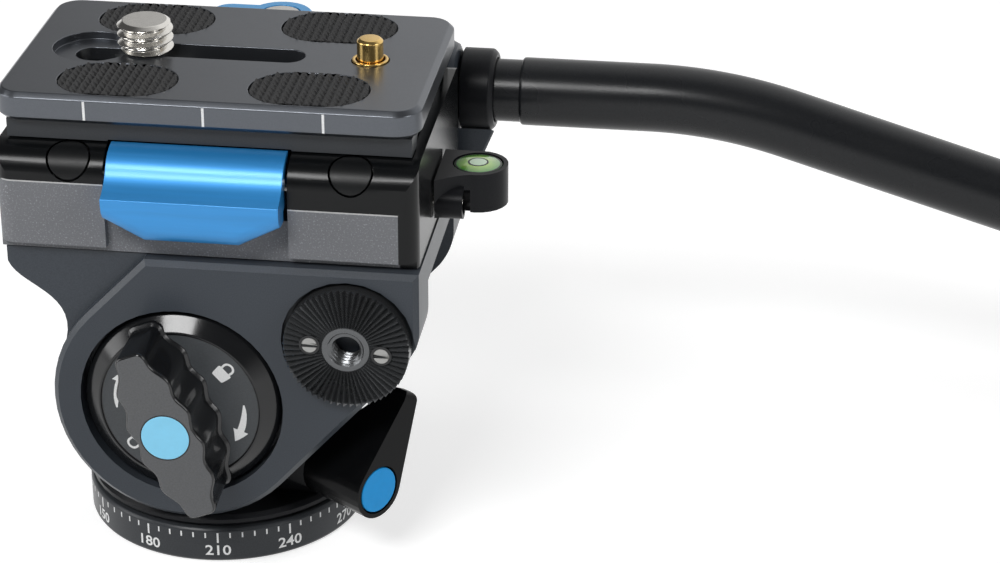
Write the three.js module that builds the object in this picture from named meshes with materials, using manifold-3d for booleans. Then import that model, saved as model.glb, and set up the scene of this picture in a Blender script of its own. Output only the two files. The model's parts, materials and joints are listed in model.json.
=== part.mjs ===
// Fluid video head: a fork casting nods on a pan housing, which turns on a base with a degree dial.
// Millimetres. The origin lies on the pan axis in the underside of the base. +Z points up, +X towards the
// operator and the pan bar, and -Y towards the side with the clamp lever and the tilt lock knob.

import * as THREE from 'three';
import { mergeVertices } from 'three/addons/utils/BufferGeometryUtils.js';
import Module from 'manifold-3d';

const wasm = await Module();
wasm.setup();

// Gaps and overruns
const clearance = 0.3;
const overrun = 1;
const weldStep = 1e-4;

// Facets of a full circle
const fine = 48;
const medium = 24;
const coarse = 16;

// Base and dial
const baseRadius = 24.86;
const dialHeight = 6.46;
const dialWidth = 5;
const dialChamfer = 0.6;
const basePlateHeight = 5.2;
const spindleRadius = 9.5;
const spindleGrooveRadius = 8.7;
const spindleTop = 17.6;
const bushRadius = 6;
const bushBoreRadius = 4.3;
const bushHeight = 9;
const bushFlangeRadius = 7.6;
const bushFlangeHeight = 1.2;
const washerHeight = 0.9;
const washerRadius = 18;
const washerBoreRadius = 11;
const panBearingRadius = 13.4;
const panBearingHeight = 4.6;
const bearingShieldShare = 0.25;
const bearingDepthShare = 1 / 6;
const clipRadius = 11.2;
const clipThickness = 0.9;
const clipOpening = 7;

// Pan housing
const housingRadius = 24.5;
const flangeHeight = 2.1;
const housingBodyHeight = 17.4;
const barrelHalfLength = 13.4;
const barrelRadius = 17;
const barrelArcStart = -30;
const barrelArcEnd = 210;
const barrelBoreRadius = 12.6;
const housingChamfer = 0.7;
const panBossRadius = 5.2;
const panBossReach = 25;

// Tilt axis and fork casting
const tiltX = -1.65;
const tiltZ = 31.78;
const drumRadius = 22.4;
const drumArcEnd = 155;
const cheekInnerY = 15;
const cheekWingY = 23;
const cheekFrontY = 26;
const cheekBevel = 0.9;
const castingTop = 58.4;
const bridgeUnderside = 52.6;
const wingLeftX = -31.2;
const castingRightX = 39.4;
const wingDropZ = 55.6;
const flareUpperX = -29.4;
const flareUpperZ = 50.8;
const flareLowerX = -19.6;
const flareLowerZ = 50.4;
const stepTopX = -7;
const armFootX = 36.8;
const armFootZ = 41;
const armSideZ = 48;
const axleRadius = 4;
const axleHalfLength = 22;
const tiltBearingWidth = 4;
const brakeDiscThickness = 1;
const brakeDiscRadius = 16.5;
const rearCoverRadius = 14;
const rearCoverDepth = 3;
const rearCoverProud = 0.8;

// Tilt lock knob
const knobRadius = 17;
const knobFaceRadius = 13.7;
const knobDepth = 5.4;
const knobProud = 0.9;
const knobRimDrop = 2;
const wingHeight = 11.2;
const wingHalfLength = 16;
const wingHalfWidth = 5.6;
const wingTipHalfWidth = 3;
const wingTurn = 21.4;
const wingWaves = 4;
const wingEdgeSteps = 32;
const wingTipRoundness = 14;
const wingWaveDepth = 0.42;
const wingBevel = 0.6;
const knobCapRadius = 4.15;
const knobCapDepth = 1.6;
const knobNutRadius = 7;
const knobNutDepth = 2.6;

// Rosettes
const rosetteX = 27.36;
const rosetteZ = 45.17;
const rosetteRadius = 10.67;
const rosetteFrontY = 28.3;
const rosetteThickness = 4.4;
const rosettePocketRadius = 11.4;
const rosetteTeeth = 60;
const toothHeight = 0.6;
const socketRadius = 4.05;
const socketBoreRadius = 2.55;
const rosetteScrewRadius = 1.35;
const rosetteScrewPitchRadius = 6.1;
const rosetteScrewTurn = -6;
const rosetteScrewLength = 3;
const rosetteScrewSlotWidth = 0.54;
const hubLap = 0.25;

// Clamp platform
const platformLeftX = -32;
const platformRightX = 39.2;
const platformHalfWidth = 25;
const platformFoot = 58.7;
const footStep = 1.3;
const footInset = 1.6;
const shoulderZ = 71.7;
const shoulderRadius = 5.3;
const platformCorner = 3;
const recessLeftX = -13.4;
const recessRightX = 17.6;
const plugRadius = 3.5;
const plugLength = 5;
const plugLeftX = -19.4;
const plugRightX = 28;

// Quick-release plate
const plateX = 3.45;
const plateLength = 71.5;
const plateWidth = 44.9;
const dovetailFoot = 77.35;
const plateHeight = 8.64;
const plateTop = dovetailFoot + plateHeight;
const slabThickness = 5.06;
const plateCorner = 4.6;
const plateChamfer = 0.83;
const dovetailHalfBottom = 15;
const dovetailHalfNeck = 12.6;
const tailInset = 2;
const slotHalfWidth = 3;
const slotLeftX = -24;
const slotRightX = 9.8;
const slotRimRadius = 6.9;
const slotRimDepth = 1.4;
const headChannelHalfWidth = 8.2;
const headChannelTop = 82.2;
const padHalfSpanX = 16.2;
const padHalfSpanY = 14.2;
const padLength = 20;
const padWidth = 13.8;
const padDepth = 1;
const padProud = 0.25;

// Screw and pin in the plate
const screwX = -14.76;
const screwThreadRadius = 4.76;
const screwTipRadius = 3.9;
const screwProud = 5.36;
const screwNeckRadius = 2.6;
const screwHeadRadius = 7.5;
const screwHeadHeight = 2.4;
const screwWasherRadius = 6.6;
const screwWasherHeight = 0.7;
const coinSlotWidth = 1.6;
const coinSlotDepth = 1.2;
const pinX = 24.04;
const pinRadius = 2.25;
const pinProud = 4;
const pinFlangeRadius = 2.9;
const pinFlangeHeight = 0.9;
const pinFoot = 83.3;
const pinRoomFloor = 78;
const pinCollarRadius = 3.1;
const pinCollarHeight = 1.5;
const pinTopRound = 0.4;
const pinSpringRadius = 2.05;
const pinSpringWire = 0.5;
const pinSpringTurns = 3;
const pinSpringPitch = 1.4;

// Clamp lever and jaw
const leverPivotY = -20;
const leverPivotZ = 71.3;
const leverRadius = 6;
const leverWall = 2.2;
const leverEyeRadius = 3.4;
const leverEyeLength = 5;
const leverWebThickness = 2.2;
const leverPinRadius = 1.6;
const leverPinInset = 1.4;
const leverRoundEnd = 150;
const leverFlare = 2.4;
const leverLipY = -29.6;
const leverLipThickness = 4.2;
const leverLipFoot = 63.3;
const leverCreaseZ = 70.9;
const leverCornerWidth = 6.9;
const leverCornerHeight = 3.6;
const leverRoundDepth = 1.9;
const leverRoundHeight = 2.6;
const jawSetback = 2.25;
const jawOuterY = jawSetback - plateWidth / 2;
const jawHeight = 3.2;
const jawTop = dovetailFoot + jawHeight;
const jawEndInset = 1.5;
const jawTravel = 0.8;

// Safety button on the left end
const buttonLowY = 16.6;
const buttonHighY = 23;
const buttonProud = 4.7;
const buttonTop = 79.4;
const buttonFoot = 72.6;
const buttonStemTop = 75.2;
const buttonStemHighY = 21.2;
const buttonDepth = 7;
const buttonTravel = 1.5;
const buttonCorner = 1;

// Rear stop lever
const rearLeverX = 6.05;
const rearLeverY = 29.6;
const rearLeverRadius = 5.8;
const rearLeverThickness = 3;
const rearLeverRise = 10.7;
const rearLeverTop = shoulderZ + rearLeverRise;
const rearLeverReach = 12.6;
const rearLeverTipRadius = 3.5;
const rearLeverBevel = 0.38;
const rearLugRadius = 4.2;
const rearLugHeight = 9;
const rearScrewHeadRadius = 3.4;
const rearScrewHeadHeight = 1.1;
const rearScrewRadius = 1.8;

// Level
const levelX = 45.9;
const levelRadius = 5.2;
const levelTop = 68.1;
const levelFoot = 61.1;
const levelArmFrontY = -8.4;
const vialRadius = 4.1;
const vialDepth = 3.4;
const bossY = -5.5;
const bossZ = 63.1;
const bossRadius = 2.9;
const bossEndX = 44.2;
const holderScrewRadius = 1.9;
const holderShankRadius = 0.95;
const holderScrewDepth = 3.4;
const levelArmInset = 2.6;
const levelArmLap = 0.25;

// Pan lock lever
const panLockTurn = -35.5;
const panLockLean = 29.4;
const panLockZ = 15.4;
const panLockRadius = 5.2;
const panLockStart = 25.4;
const panLockEnd = 38.9;
const panLockBack = 26.6;
const panLockTipBack = 34.2;
const panLockLength = 17.9;
const panLockTipHalfWidth = 1.7;
const panLockCapRadius = 4.1;
const panLockCapDepth = 1.4;
const panLockStudRadius = 1.7;
const panLockStudReach = 31;
const shoeLift = 0.8;
const shoeThickness = 3.6;
const shoeRadius = 2.1;

// Pan bar
const holderDiscThickness = 5.2;
const armSetBack = 1.1;
const armBevel = 0.4;
const sleeveStartX = 27.5;
const sleeveRadius = 8.9;
const sleeveRound = 2.6;
const sleeveLip = 0.87;
const sleeveEndX = 38.2;
const armRightX = 44.6;
const armRightZ = 61;
const collarRadius = 7.5;
const collarEndX = 44.6;
const collarBevel = 0.8;
const barRadius = 6.16;
const barNeckRadius = 5.66;
const barNeckEndX = 49.2;
const barSeatX = 34;
const barAxisY = 34.9;
const barAxisZ = 67.4;
const barBendStartX = 72.4;
const barBendRadius = 87.5;
const barBendAngle = 16.9;
const barSlopeLength = 172;
const barBendSteps = 8;
const barSides = 20;
const gripLength = 96;
const gripRadius = 10.2;
const gripRound = 1;
const gripEdge = 0.5;
const endCapLength = 5;
const endCapChamfer = 2.5;
const barKnobRadius = 9.6;
const barKnobHeight = 9;
const barKnobLobes = 6;
const stepsPerLobe = 8;
const barKnobLobeDepth = 1.1;
const barScrewRadius = 2.1;
const barScrewReach = 25.2;

// Counterbalance spring and damper
const rotorLength = 7;
const rotorRadius = 10.2;
const cupWall = 1.2;
const balanceSpringRadius = 8.2;
const balanceSpringWire = 1.5;
const balanceSpringTurns = 4;
const balanceSpringPitch = 2.1;

// Looks
const look = {
  casting: { color: 0x383b40, roughness: 0.55, metalness: 0.4 },
  anodised: { color: 0x55585d, roughness: 0.42, metalness: 0.6 },
  black: { color: 0x101113, roughness: 0.3, metalness: 0.2 },
  blue: { color: 0x0d5cc0, roughness: 0.3, metalness: 0.7 },
  sky: { color: 0x87d4f5, roughness: 0.5, metalness: 0 },
  steel: { color: 0xb9bcc0, roughness: 0.25, metalness: 1 },
  brass: { color: 0xc79a4b, roughness: 0.3, metalness: 1 },
  rubber: { color: 0x141414, roughness: 0.85, metalness: 0 },
  glass: { color: 0xa8d84a, roughness: 0.1, metalness: 0 },
  polymer: { color: 0xd8d4c8, roughness: 0.6, metalness: 0 },
};

// Heights and planes that several pieces share
const seam = dialHeight + clearance;
const flangeTop = seam + flangeHeight;
const slabUnderside = plateTop - slabThickness;
const platformFloor = shoulderZ + shoulderRadius;
const platformBody = platformFoot + footStep;
const panBearingLow = seam + clearance;
const clipLow = panBearingLow + panBearingHeight + clearance;
const knobSeatY = cheekFrontY - knobDepth;
const knobFaceY = cheekFrontY + knobProud;
const wingFaceY = knobFaceY + wingHeight;
const rosetteBackY = rosetteFrontY - rosetteThickness;
const holderFaceY = rosetteFrontY + clearance;
const holderBackY = holderFaceY + holderDiscThickness;
const radians = THREE.MathUtils.degToRad;

// Closed geometries

function signedVolume(place, index) {
  let sum = 0;
  for (let i = 0; i < index.length; i += 3) {
    const [a, b, c] = [3 * index[i], 3 * index[i + 1], 3 * index[i + 2]];
    sum += place[a] * (place[b + 1] * place[c + 2] - place[b + 2] * place[c + 1]);
    sum -= place[a + 1] * (place[b] * place[c + 2] - place[b + 2] * place[c]);
    sum += place[a + 2] * (place[b] * place[c + 1] - place[b + 1] * place[c]);
  }
  return sum;
}

// Shared corners are welded, flat slivers dropped, and faces turned outwards.
function welded(geometry) {
  const bare = geometry.clone();
  for (const name of Object.keys(bare.attributes)) {
    if (name !== 'position') bare.deleteAttribute(name);
  }
  const merged = mergeVertices(bare, weldStep);
  const old = merged.index.array;
  const index = [];
  for (let i = 0; i < old.length; i += 3) {
    const [a, b, c] = [old[i], old[i + 1], old[i + 2]];
    if (a !== b && b !== c && c !== a) index.push(a, b, c);
  }
  if (signedVolume(merged.attributes.position.array, index) < 0) index.reverse();
  merged.setIndex(index);
  return merged;
}

function toManifold(geometry) {
  const closed = welded(geometry);
  return new wasm.Manifold(new wasm.Mesh({
    numProp: 3,
    vertProperties: new Float32Array(closed.attributes.position.array),
    triVerts: new Uint32Array(closed.index.array),
  }));
}

function fromManifold(manifold) {
  const mesh = manifold.getMesh();
  const geometry = new THREE.BufferGeometry();
  geometry.setAttribute('position', new THREE.BufferAttribute(new Float32Array(mesh.vertProperties), 3));
  geometry.setIndex(Array.from(mesh.triVerts));
  return geometry;
}

function join(first, ...others) {
  return fromManifold(others.reduce((sum, other) => sum.add(toManifold(other)), toManifold(first)));
}

function cut(first, ...others) {
  return fromManifold(others.reduce((sum, other) => sum.subtract(toManifold(other)), toManifold(first)));
}

function common(first, second) {
  return fromManifold(toManifold(first).intersect(toManifold(second)));
}

function piece(name, geometry, finish) {
  const mesh = new THREE.Mesh(welded(geometry), new THREE.MeshStandardMaterial(look[finish]));
  mesh.geometry.computeVertexNormals();
  mesh.name = name;
  return mesh;
}

// Shapes

// An outline in two coordinates is carried along the third. A bevel trims both faces inside the outline.
function carried(outline, low, high, bevel, curveSegments) {
  const options = { depth: high - low - 2 * bevel, bevelEnabled: bevel > 0, curveSegments };
  const rounding = { bevelThickness: bevel, bevelSize: bevel, bevelOffset: -bevel, bevelSegments: 1 };
  return new THREE.ExtrudeGeometry(outline, { ...options, ...rounding }).translate(0, 0, low + bevel);
}

function slabZ(outline, low, high, bevel = 0, curveSegments = 10) {
  return carried(outline, low, high, bevel, curveSegments);
}

function slabY(outline, low, high, bevel = 0, curveSegments = 10) {
  return carried(outline, -high, -low, bevel, curveSegments).rotateX(Math.PI / 2);
}

function slabX(outline, low, high, bevel = 0, curveSegments = 10) {
  const turn = new THREE.Matrix4().makeBasis(
    new THREE.Vector3(0, 1, 0), new THREE.Vector3(0, 0, 1), new THREE.Vector3(1, 0, 0));
  return carried(outline, low, high, bevel, curveSegments).applyMatrix4(turn);
}

// A profile of radius and height pairs, turned about Z. A profile that misses the axis closes on itself.
function turned(pairs, segments = medium) {
  const profile = pairs.map(([radius, height]) => new THREE.Vector2(radius, height));
  if (pairs[0][0] > 0) profile.push(profile[0].clone());
  return new THREE.LatheGeometry(profile, segments).rotateX(Math.PI / 2);
}

function rod(radius, low, high, segments = medium) {
  return turned([[0, low], [radius, low], [radius, high], [0, high]], segments);
}

function ring(inner, outer, low, high, segments = medium) {
  return turned([[inner, low], [outer, low], [outer, high], [inner, high]], segments);
}

// A shape turned about Z is laid along another axis: its heights become places on that axis.
function toY(geometry) {
  return geometry.rotateX(-Math.PI / 2);
}

function toFront(geometry) {
  return geometry.rotateX(Math.PI / 2);
}

function toX(geometry) {
  return geometry.rotateY(Math.PI / 2);
}

function block(lowX, highX, lowY, highY, lowZ, highZ) {
  const box = new THREE.BoxGeometry(highX - lowX, highY - lowY, highZ - lowZ);
  return box.translate((lowX + highX) / 2, (lowY + highY) / 2, (lowZ + highZ) / 2);
}

function polygon(points) {
  return new THREE.Shape(points.map(([u, v]) => new THREE.Vector2(u, v)));
}

function circle(u, v, radius) {
  return new THREE.Shape().absarc(u, v, radius, 0, 2 * Math.PI, false);
}

function roundedRectangle(lowU, highU, lowV, highV, corner) {
  const outline = new THREE.Shape();
  outline.moveTo(lowU + corner, lowV);
  outline.lineTo(highU - corner, lowV);
  outline.absarc(highU - corner, lowV + corner, corner, -Math.PI / 2, 0, false);
  outline.lineTo(highU, highV - corner);
  outline.absarc(highU - corner, highV - corner, corner, 0, Math.PI / 2, false);
  outline.lineTo(lowU + corner, highV);
  outline.absarc(lowU + corner, highV - corner, corner, Math.PI / 2, Math.PI, false);
  outline.lineTo(lowU, lowV + corner);
  outline.absarc(lowU + corner, lowV + corner, corner, Math.PI, Math.PI * 1.5, false);
  return outline;
}

// Two equal half circles and the straight sides between them.
function stadium(lowU, highU, centreV, half) {
  const outline = new THREE.Shape();
  outline.moveTo(lowU + half, centreV - half);
  outline.lineTo(highU - half, centreV - half);
  outline.absarc(highU - half, centreV, half, -Math.PI / 2, Math.PI / 2, false);
  outline.lineTo(lowU + half, centreV + half);
  outline.absarc(lowU + half, centreV, half, Math.PI / 2, Math.PI * 1.5, false);
  return outline;
}

// The least distance between wire surfaces half a turn or more apart, on points of the centre line.
function coilGap(radius, wire, turns, pitch) {
  const count = 24 * turns;
  const line = [];
  for (let i = 0; i <= count; i += 1) {
    const angle = (i / 24) * 2 * Math.PI;
    line.push(new THREE.Vector3(radius * Math.cos(angle), radius * Math.sin(angle), (pitch * i) / 24));
  }
  let least = Infinity;
  for (let i = 0; i <= count; i += 1) {
    for (let j = i + 12; j <= count; j += 1) least = Math.min(least, line[i].distanceTo(line[j]));
  }
  return least - wire;
}

// A wire wound round Z from a low height: one unbroken tube with five sides and eight steps a turn.
function coil(radius, wire, turns, pitch, low) {
  const steps = 8 * turns;
  const sides = 5;
  const places = [];
  const index = [];
  const slope = Math.atan2(pitch, 2 * Math.PI * radius);
  for (let step = 0; step <= steps; step += 1) {
    const angle = (step / 8) * 2 * Math.PI;
    const outward = new THREE.Vector3(Math.cos(angle), Math.sin(angle), 0);
    const across = new THREE.Vector3(Math.sin(angle), -Math.cos(angle), 0).multiplyScalar(Math.sin(slope));
    across.z = Math.cos(slope);
    const centre = outward.clone().multiplyScalar(radius);
    centre.z = low + wire / 2 + (pitch * step) / 8;
    for (let side = 0; side < sides; side += 1) {
      const around = (side / sides) * 2 * Math.PI;
      const place = centre.clone().addScaledVector(outward, (wire / 2) * Math.cos(around));
      place.addScaledVector(across, (wire / 2) * Math.sin(around));
      places.push(place.x, place.y, place.z);
    }
  }
  for (let step = 0; step < steps; step += 1) {
    for (let side = 0; side < sides; side += 1) {
      const here = step * sides + side;
      const next = step * sides + ((side + 1) % sides);
      index.push(here, next, next + sides, here, next + sides, here + sides);
    }
  }
  const last = steps * sides;
  for (let side = 1; side < sides - 1; side += 1) {
    index.push(0, side + 1, side, last, last + side, last + side + 1);
  }
  const leastGap = coilGap(radius, wire, turns, pitch).toFixed(2);
  console.log(`spring of radius ${radius} mm: least gap ${leastGap} mm`);
  const geometry = new THREE.BufferGeometry();
  geometry.setAttribute('position', new THREE.BufferAttribute(new Float32Array(places), 3));
  geometry.setIndex(index);
  return geometry;
}

// A disc with a hole and radial teeth on its upper face. Each tooth grows lower towards the hub.
function toothedDisc(outer, inner, base, peak, phase) {
  const count = 2 * rosetteTeeth;
  const places = [];
  const index = [];
  for (let i = 0; i < count; i += 1) {
    const angle = (i / count) * 2 * Math.PI;
    const drop = i % 2 === phase ? 0 : toothHeight;
    const innerDrop = drop * (inner / outer);
    const corners = [[inner, base], [outer, base], [outer, peak - drop], [inner, peak - innerDrop]];
    for (const [radius, height] of corners) {
      places.push(radius * Math.cos(angle), radius * Math.sin(angle), height);
    }
  }
  for (let i = 0; i < count; i += 1) {
    const here = 4 * i;
    const next = 4 * ((i + 1) % count);
    for (let corner = 0; corner < 4; corner += 1) {
      const other = (corner + 1) % 4;
      index.push(here + corner, next + corner, next + other, here + corner, next + other, here + other);
    }
  }
  const geometry = new THREE.BufferGeometry();
  geometry.setAttribute('position', new THREE.BufferAttribute(new Float32Array(places), 3));
  geometry.setIndex(index);
  return geometry;
}

// Base

function makeDialRing() {
  const inner = baseRadius - dialWidth;
  const shape = turned([
    [inner, 0], [baseRadius - dialChamfer, 0], [baseRadius, dialChamfer],
    [baseRadius, dialHeight - dialChamfer],
    [baseRadius - dialChamfer, dialHeight], [inner, dialHeight],
  ], fine);
  return piece('base_dial_ring', shape, 'casting');
}

function makeBasePlate() {
  const outer = baseRadius - dialWidth - clearance;
  const bore = bushRadius + clearance;
  const flangeBore = bushFlangeRadius + clearance;
  const flangeSeat = bushFlangeHeight + 2 * clearance;
  const bushSeat = bushHeight + 2 * clearance;
  const grooveLow = clipLow - clearance / 2;
  const grooveHigh = clipLow + clipThickness + clearance / 2;
  const shape = turned([
    [flangeBore, 0], [outer, 0], [outer, basePlateHeight], [spindleRadius, basePlateHeight],
    [spindleRadius, grooveLow], [spindleGrooveRadius, grooveLow], [spindleGrooveRadius, grooveHigh],
    [spindleRadius, grooveHigh], [spindleRadius, spindleTop], [bushBoreRadius, spindleTop],
    [bushBoreRadius, bushSeat], [bore, bushSeat], [bore, flangeSeat], [flangeBore, flangeSeat],
  ]);
  return piece('base_plate', shape, 'casting');
}

function makeTripodBush() {
  const low = clearance;
  const shape = turned([
    [bushBoreRadius, low], [bushFlangeRadius, low], [bushFlangeRadius, low + bushFlangeHeight],
    [bushRadius, low + bushFlangeHeight], [bushRadius, low + bushHeight], [bushBoreRadius, low + bushHeight],
  ]);
  return piece('tripod_bush', shape, 'steel');
}

function makeThrustWasher() {
  const low = basePlateHeight + clearance;
  return piece('pan_thrust_washer', ring(washerBoreRadius, washerRadius, low, low + washerHeight), 'polymer');
}

// A ball bearing reads as two races with a shield between them, set back on one side.
function bearing(inner, outer, low, high) {
  const middle = (inner + outer) / 2;
  const shield = (outer - inner) * bearingShieldShare;
  const depth = (high - low) * bearingDepthShare;
  return turned([
    [inner, low], [outer, low], [outer, high], [middle + shield, high], [middle + shield, high - depth],
    [middle - shield, high - depth], [middle - shield, high], [inner, high],
  ]);
}

function makePanBearing() {
  const high = panBearingLow + panBearingHeight;
  const shape = bearing(spindleRadius + clearance, panBearingRadius, panBearingLow, high);
  return piece('pan_bearing', shape, 'steel');
}

function makeSpindleClip() {
  const inner = spindleGrooveRadius + clearance;
  const whole = ring(inner, clipRadius, clipLow, clipLow + clipThickness);
  const mouth = block(-clipRadius - overrun, 0, -clipOpening / 2, clipOpening / 2, clipLow - overrun,
    clipLow + clipThickness + overrun);
  return piece('spindle_clip', cut(whole, mouth), 'steel');
}

// Pan housing

function panLockPlace(geometry) {
  return toX(geometry).rotateZ(radians(panLockTurn)).translate(0, 0, panLockZ);
}

function makePanHousing() {
  const reach = housingRadius + overrun;
  const outline = new THREE.Shape();
  outline.moveTo(-reach, seam + housingChamfer);
  outline.lineTo(reach, seam + housingChamfer);
  outline.lineTo(reach, housingBodyHeight);
  outline.absarc(tiltX, tiltZ, barrelRadius, radians(barrelArcStart), radians(barrelArcEnd), false);
  outline.lineTo(-reach, housingBodyHeight);
  const envelope = rod(housingRadius, seam, tiltZ + barrelRadius + overrun, fine);
  const body = common(slabY(outline, -barrelHalfLength, barrelHalfLength, 0, 16), envelope);
  const flange = turned([
    [0, seam], [housingRadius - housingChamfer, seam], [housingRadius, seam + housingChamfer],
    [housingRadius, flangeTop - housingChamfer], [housingRadius - housingChamfer, flangeTop], [0, flangeTop],
  ], fine);
  const cheekRoom = block(-reach, reach, -reach, clearance - cheekInnerY, 0, tiltZ);
  const lockBoss = cut(panLockPlace(rod(panBossRadius, barrelBoreRadius, panBossReach, coarse)), cheekRoom);
  const clipRoom = clipRadius + clearance;
  const bearingTop = panBearingLow + panBearingHeight + clearance / 2;
  const hollowTop = spindleTop + clearance;
  const hollow = turned([
    [0, seam - overrun], [panBearingRadius + clearance, seam - overrun],
    [panBearingRadius + clearance, bearingTop], [clipRoom, bearingTop], [clipRoom, hollowTop], [0, hollowTop],
  ]);
  const barrelReach = barrelHalfLength + overrun;
  const barrelBore = toY(rod(barrelBoreRadius, -barrelReach, barrelReach)).translate(tiltX, 0, tiltZ);
  const studBore = panLockPlace(rod(panLockStudRadius + clearance, 0, panBossReach + overrun, coarse));
  const shoeEnd = spindleRadius + shoeLift + shoeThickness + clearance;
  const shoeBore = panLockPlace(rod(shoeRadius + clearance, 0, shoeEnd, coarse));
  const shape = cut(join(body, flange, lockBoss), hollow, barrelBore, studBore, shoeBore);
  return piece('pan_housing', shape, 'black');
}

function onTiltAxis(geometry) {
  return toY(geometry).translate(tiltX, 0, tiltZ);
}

const bearingInnerY = barrelHalfLength - clearance - tiltBearingWidth;

function makeTiltBearing(name, low) {
  const shape = bearing(axleRadius + clearance, barrelBoreRadius - clearance, low, low + tiltBearingWidth);
  return piece(name, onTiltAxis(shape), 'steel');
}

const rotorLow = -bearingInnerY + clearance;

function makeDamperCup() {
  const outer = barrelBoreRadius - clearance;
  const shape = ring(outer - cupWall, outer, rotorLow, rotorLow + rotorLength);
  return piece('damper_cup', onTiltAxis(shape), 'anodised');
}

function makeDamperRotor() {
  const shape = ring(axleRadius + clearance, rotorRadius, rotorLow, rotorLow + rotorLength);
  return piece('damper_rotor', onTiltAxis(shape), 'brass');
}

function makeBalanceSpring() {
  const low = rotorLow + rotorLength + clearance;
  const shape = coil(balanceSpringRadius, balanceSpringWire, balanceSpringTurns, balanceSpringPitch, low);
  return piece('counterbalance_spring', onTiltAxis(shape), 'steel');
}

function makePanShoe() {
  const low = spindleRadius + shoeLift;
  return piece('pan_brake_shoe', panLockPlace(rod(shoeRadius, low, low + shoeThickness, coarse)), 'brass');
}

// Fork casting

// The angle at which a line from a point touches the drum: side is 1 above the line to its centre, -1 below.
function tangentAngle(x, z, side) {
  const distance = Math.hypot(x - tiltX, z - tiltZ);
  return Math.atan2(z - tiltZ, x - tiltX) + side * Math.acos(drumRadius / distance);
}

function armSide(outline) {
  outline.lineTo(castingRightX, castingTop);
  outline.lineTo(castingRightX, armSideZ);
  outline.quadraticCurveTo(castingRightX, (armSideZ + armFootZ) / 2, armFootX, armFootZ);
}

// The whole silhouette: the drum, the flare of the left wing and the arm on the right.
function castingOutline() {
  const outline = new THREE.Shape();
  outline.moveTo(wingLeftX, castingTop);
  armSide(outline);
  outline.absarc(tiltX, tiltZ, drumRadius, tangentAngle(armFootX, armFootZ, -1), radians(drumArcEnd), true);
  outline.bezierCurveTo(flareLowerX, flareLowerZ, flareUpperX, flareUpperZ, wingLeftX, wingDropZ);
  return outline;
}

// The raised face of a cheek, which stops at a slanting step before the wing.
function cheekOutline() {
  const outline = new THREE.Shape();
  outline.moveTo(stepTopX, castingTop);
  armSide(outline);
  const low = tangentAngle(armFootX, armFootZ, -1);
  outline.absarc(tiltX, tiltZ, drumRadius, low, tangentAngle(stepTopX, castingTop, 1), true);
  return outline;
}

function makeTiltCasting() {
  const inside = cheekWingY - cheekBevel - overrun;
  const core = slabY(castingOutline(), -cheekWingY, cheekWingY, 0, 14);
  const front = slabY(cheekOutline(), -cheekFrontY, -inside, cheekBevel, 14);
  const rear = slabY(cheekOutline(), inside, cheekFrontY, cheekBevel, 14);
  const far = castingRightX + overrun;
  const fork = block(wingLeftX - overrun, far, -cheekInnerY, cheekInnerY, 0, bridgeUnderside);
  const knobRoom = onTiltAxis(rod(knobRadius + 2 * clearance, -cheekFrontY - overrun, -knobSeatY, fine));
  const coverSeat = cheekFrontY - rearCoverDepth;
  const coverRoom = onTiltAxis(rod(rearCoverRadius + clearance, coverSeat, cheekFrontY + overrun));
  const axleBore = onTiltAxis(rod(axleRadius + clearance, -cheekFrontY, cheekFrontY, coarse));
  const pocketFloor = rosetteBackY - clearance;
  const frontPocket = rod(rosettePocketRadius, pocketFloor, cheekFrontY + overrun);
  const rearPocket = rod(rosettePocketRadius, pocketFloor, cheekFrontY + overrun);
  const threadBore = rod(barScrewRadius + clearance, cheekInnerY - overrun, cheekFrontY, coarse);
  const shape = cut(
    join(core, front, rear), fork, knobRoom, coverRoom, axleBore,
    toFront(frontPocket).translate(rosetteX, 0, rosetteZ), toY(rearPocket).translate(rosetteX, 0, rosetteZ),
    toY(threadBore).translate(rosetteX, 0, rosetteZ));
  return piece('tilt_casting', shape, 'casting');
}

function makeTiltAxle() {
  const shape = rod(axleRadius, -axleHalfLength, axleHalfLength, coarse);
  return piece('tilt_axle', onTiltAxis(shape), 'steel');
}

function makeBrakeDisc() {
  const low = -barrelHalfLength - clearance - brakeDiscThickness;
  const shape = ring(axleRadius + clearance, brakeDiscRadius, low, low + brakeDiscThickness);
  return piece('tilt_brake_disc', onTiltAxis(shape), 'polymer');
}

function makeRearCover() {
  const low = cheekFrontY - rearCoverDepth + clearance;
  const high = cheekFrontY + rearCoverProud;
  const shape = turned([
    [0, low], [rearCoverRadius, low], [rearCoverRadius, high - rearCoverProud],
    [rearCoverRadius - rearCoverProud, high], [0, high],
  ]);
  return piece('rear_cover', onTiltAxis(shape), 'black');
}

// Tilt lock knob

// The wing's outline: its half width swells from the tips to the middle and its edges wave for the fingers.
function wingOutline() {
  const points = [];
  const steps = wingEdgeSteps;
  const halfWidth = (share) => wingTipHalfWidth + (wingHalfWidth - wingTipHalfWidth) * (1 - share * share);
  for (const side of [1, -1]) {
    for (let i = 0; i <= steps; i += 1) {
      const share = side * (1 - (2 * i) / steps);
      const wave = wingWaveDepth * Math.cos(wingWaves * Math.PI * share);
      const round = Math.sqrt(Math.max(0, 1 - Math.abs(share) ** wingTipRoundness));
      points.push([side * (halfWidth(share) - wave) * round, wingHalfLength * share]);
    }
  }
  return polygon(points.filter(([u, v], i) => i === 0 || u !== points[i - 1][0] || v !== points[i - 1][1]));
}

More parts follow.
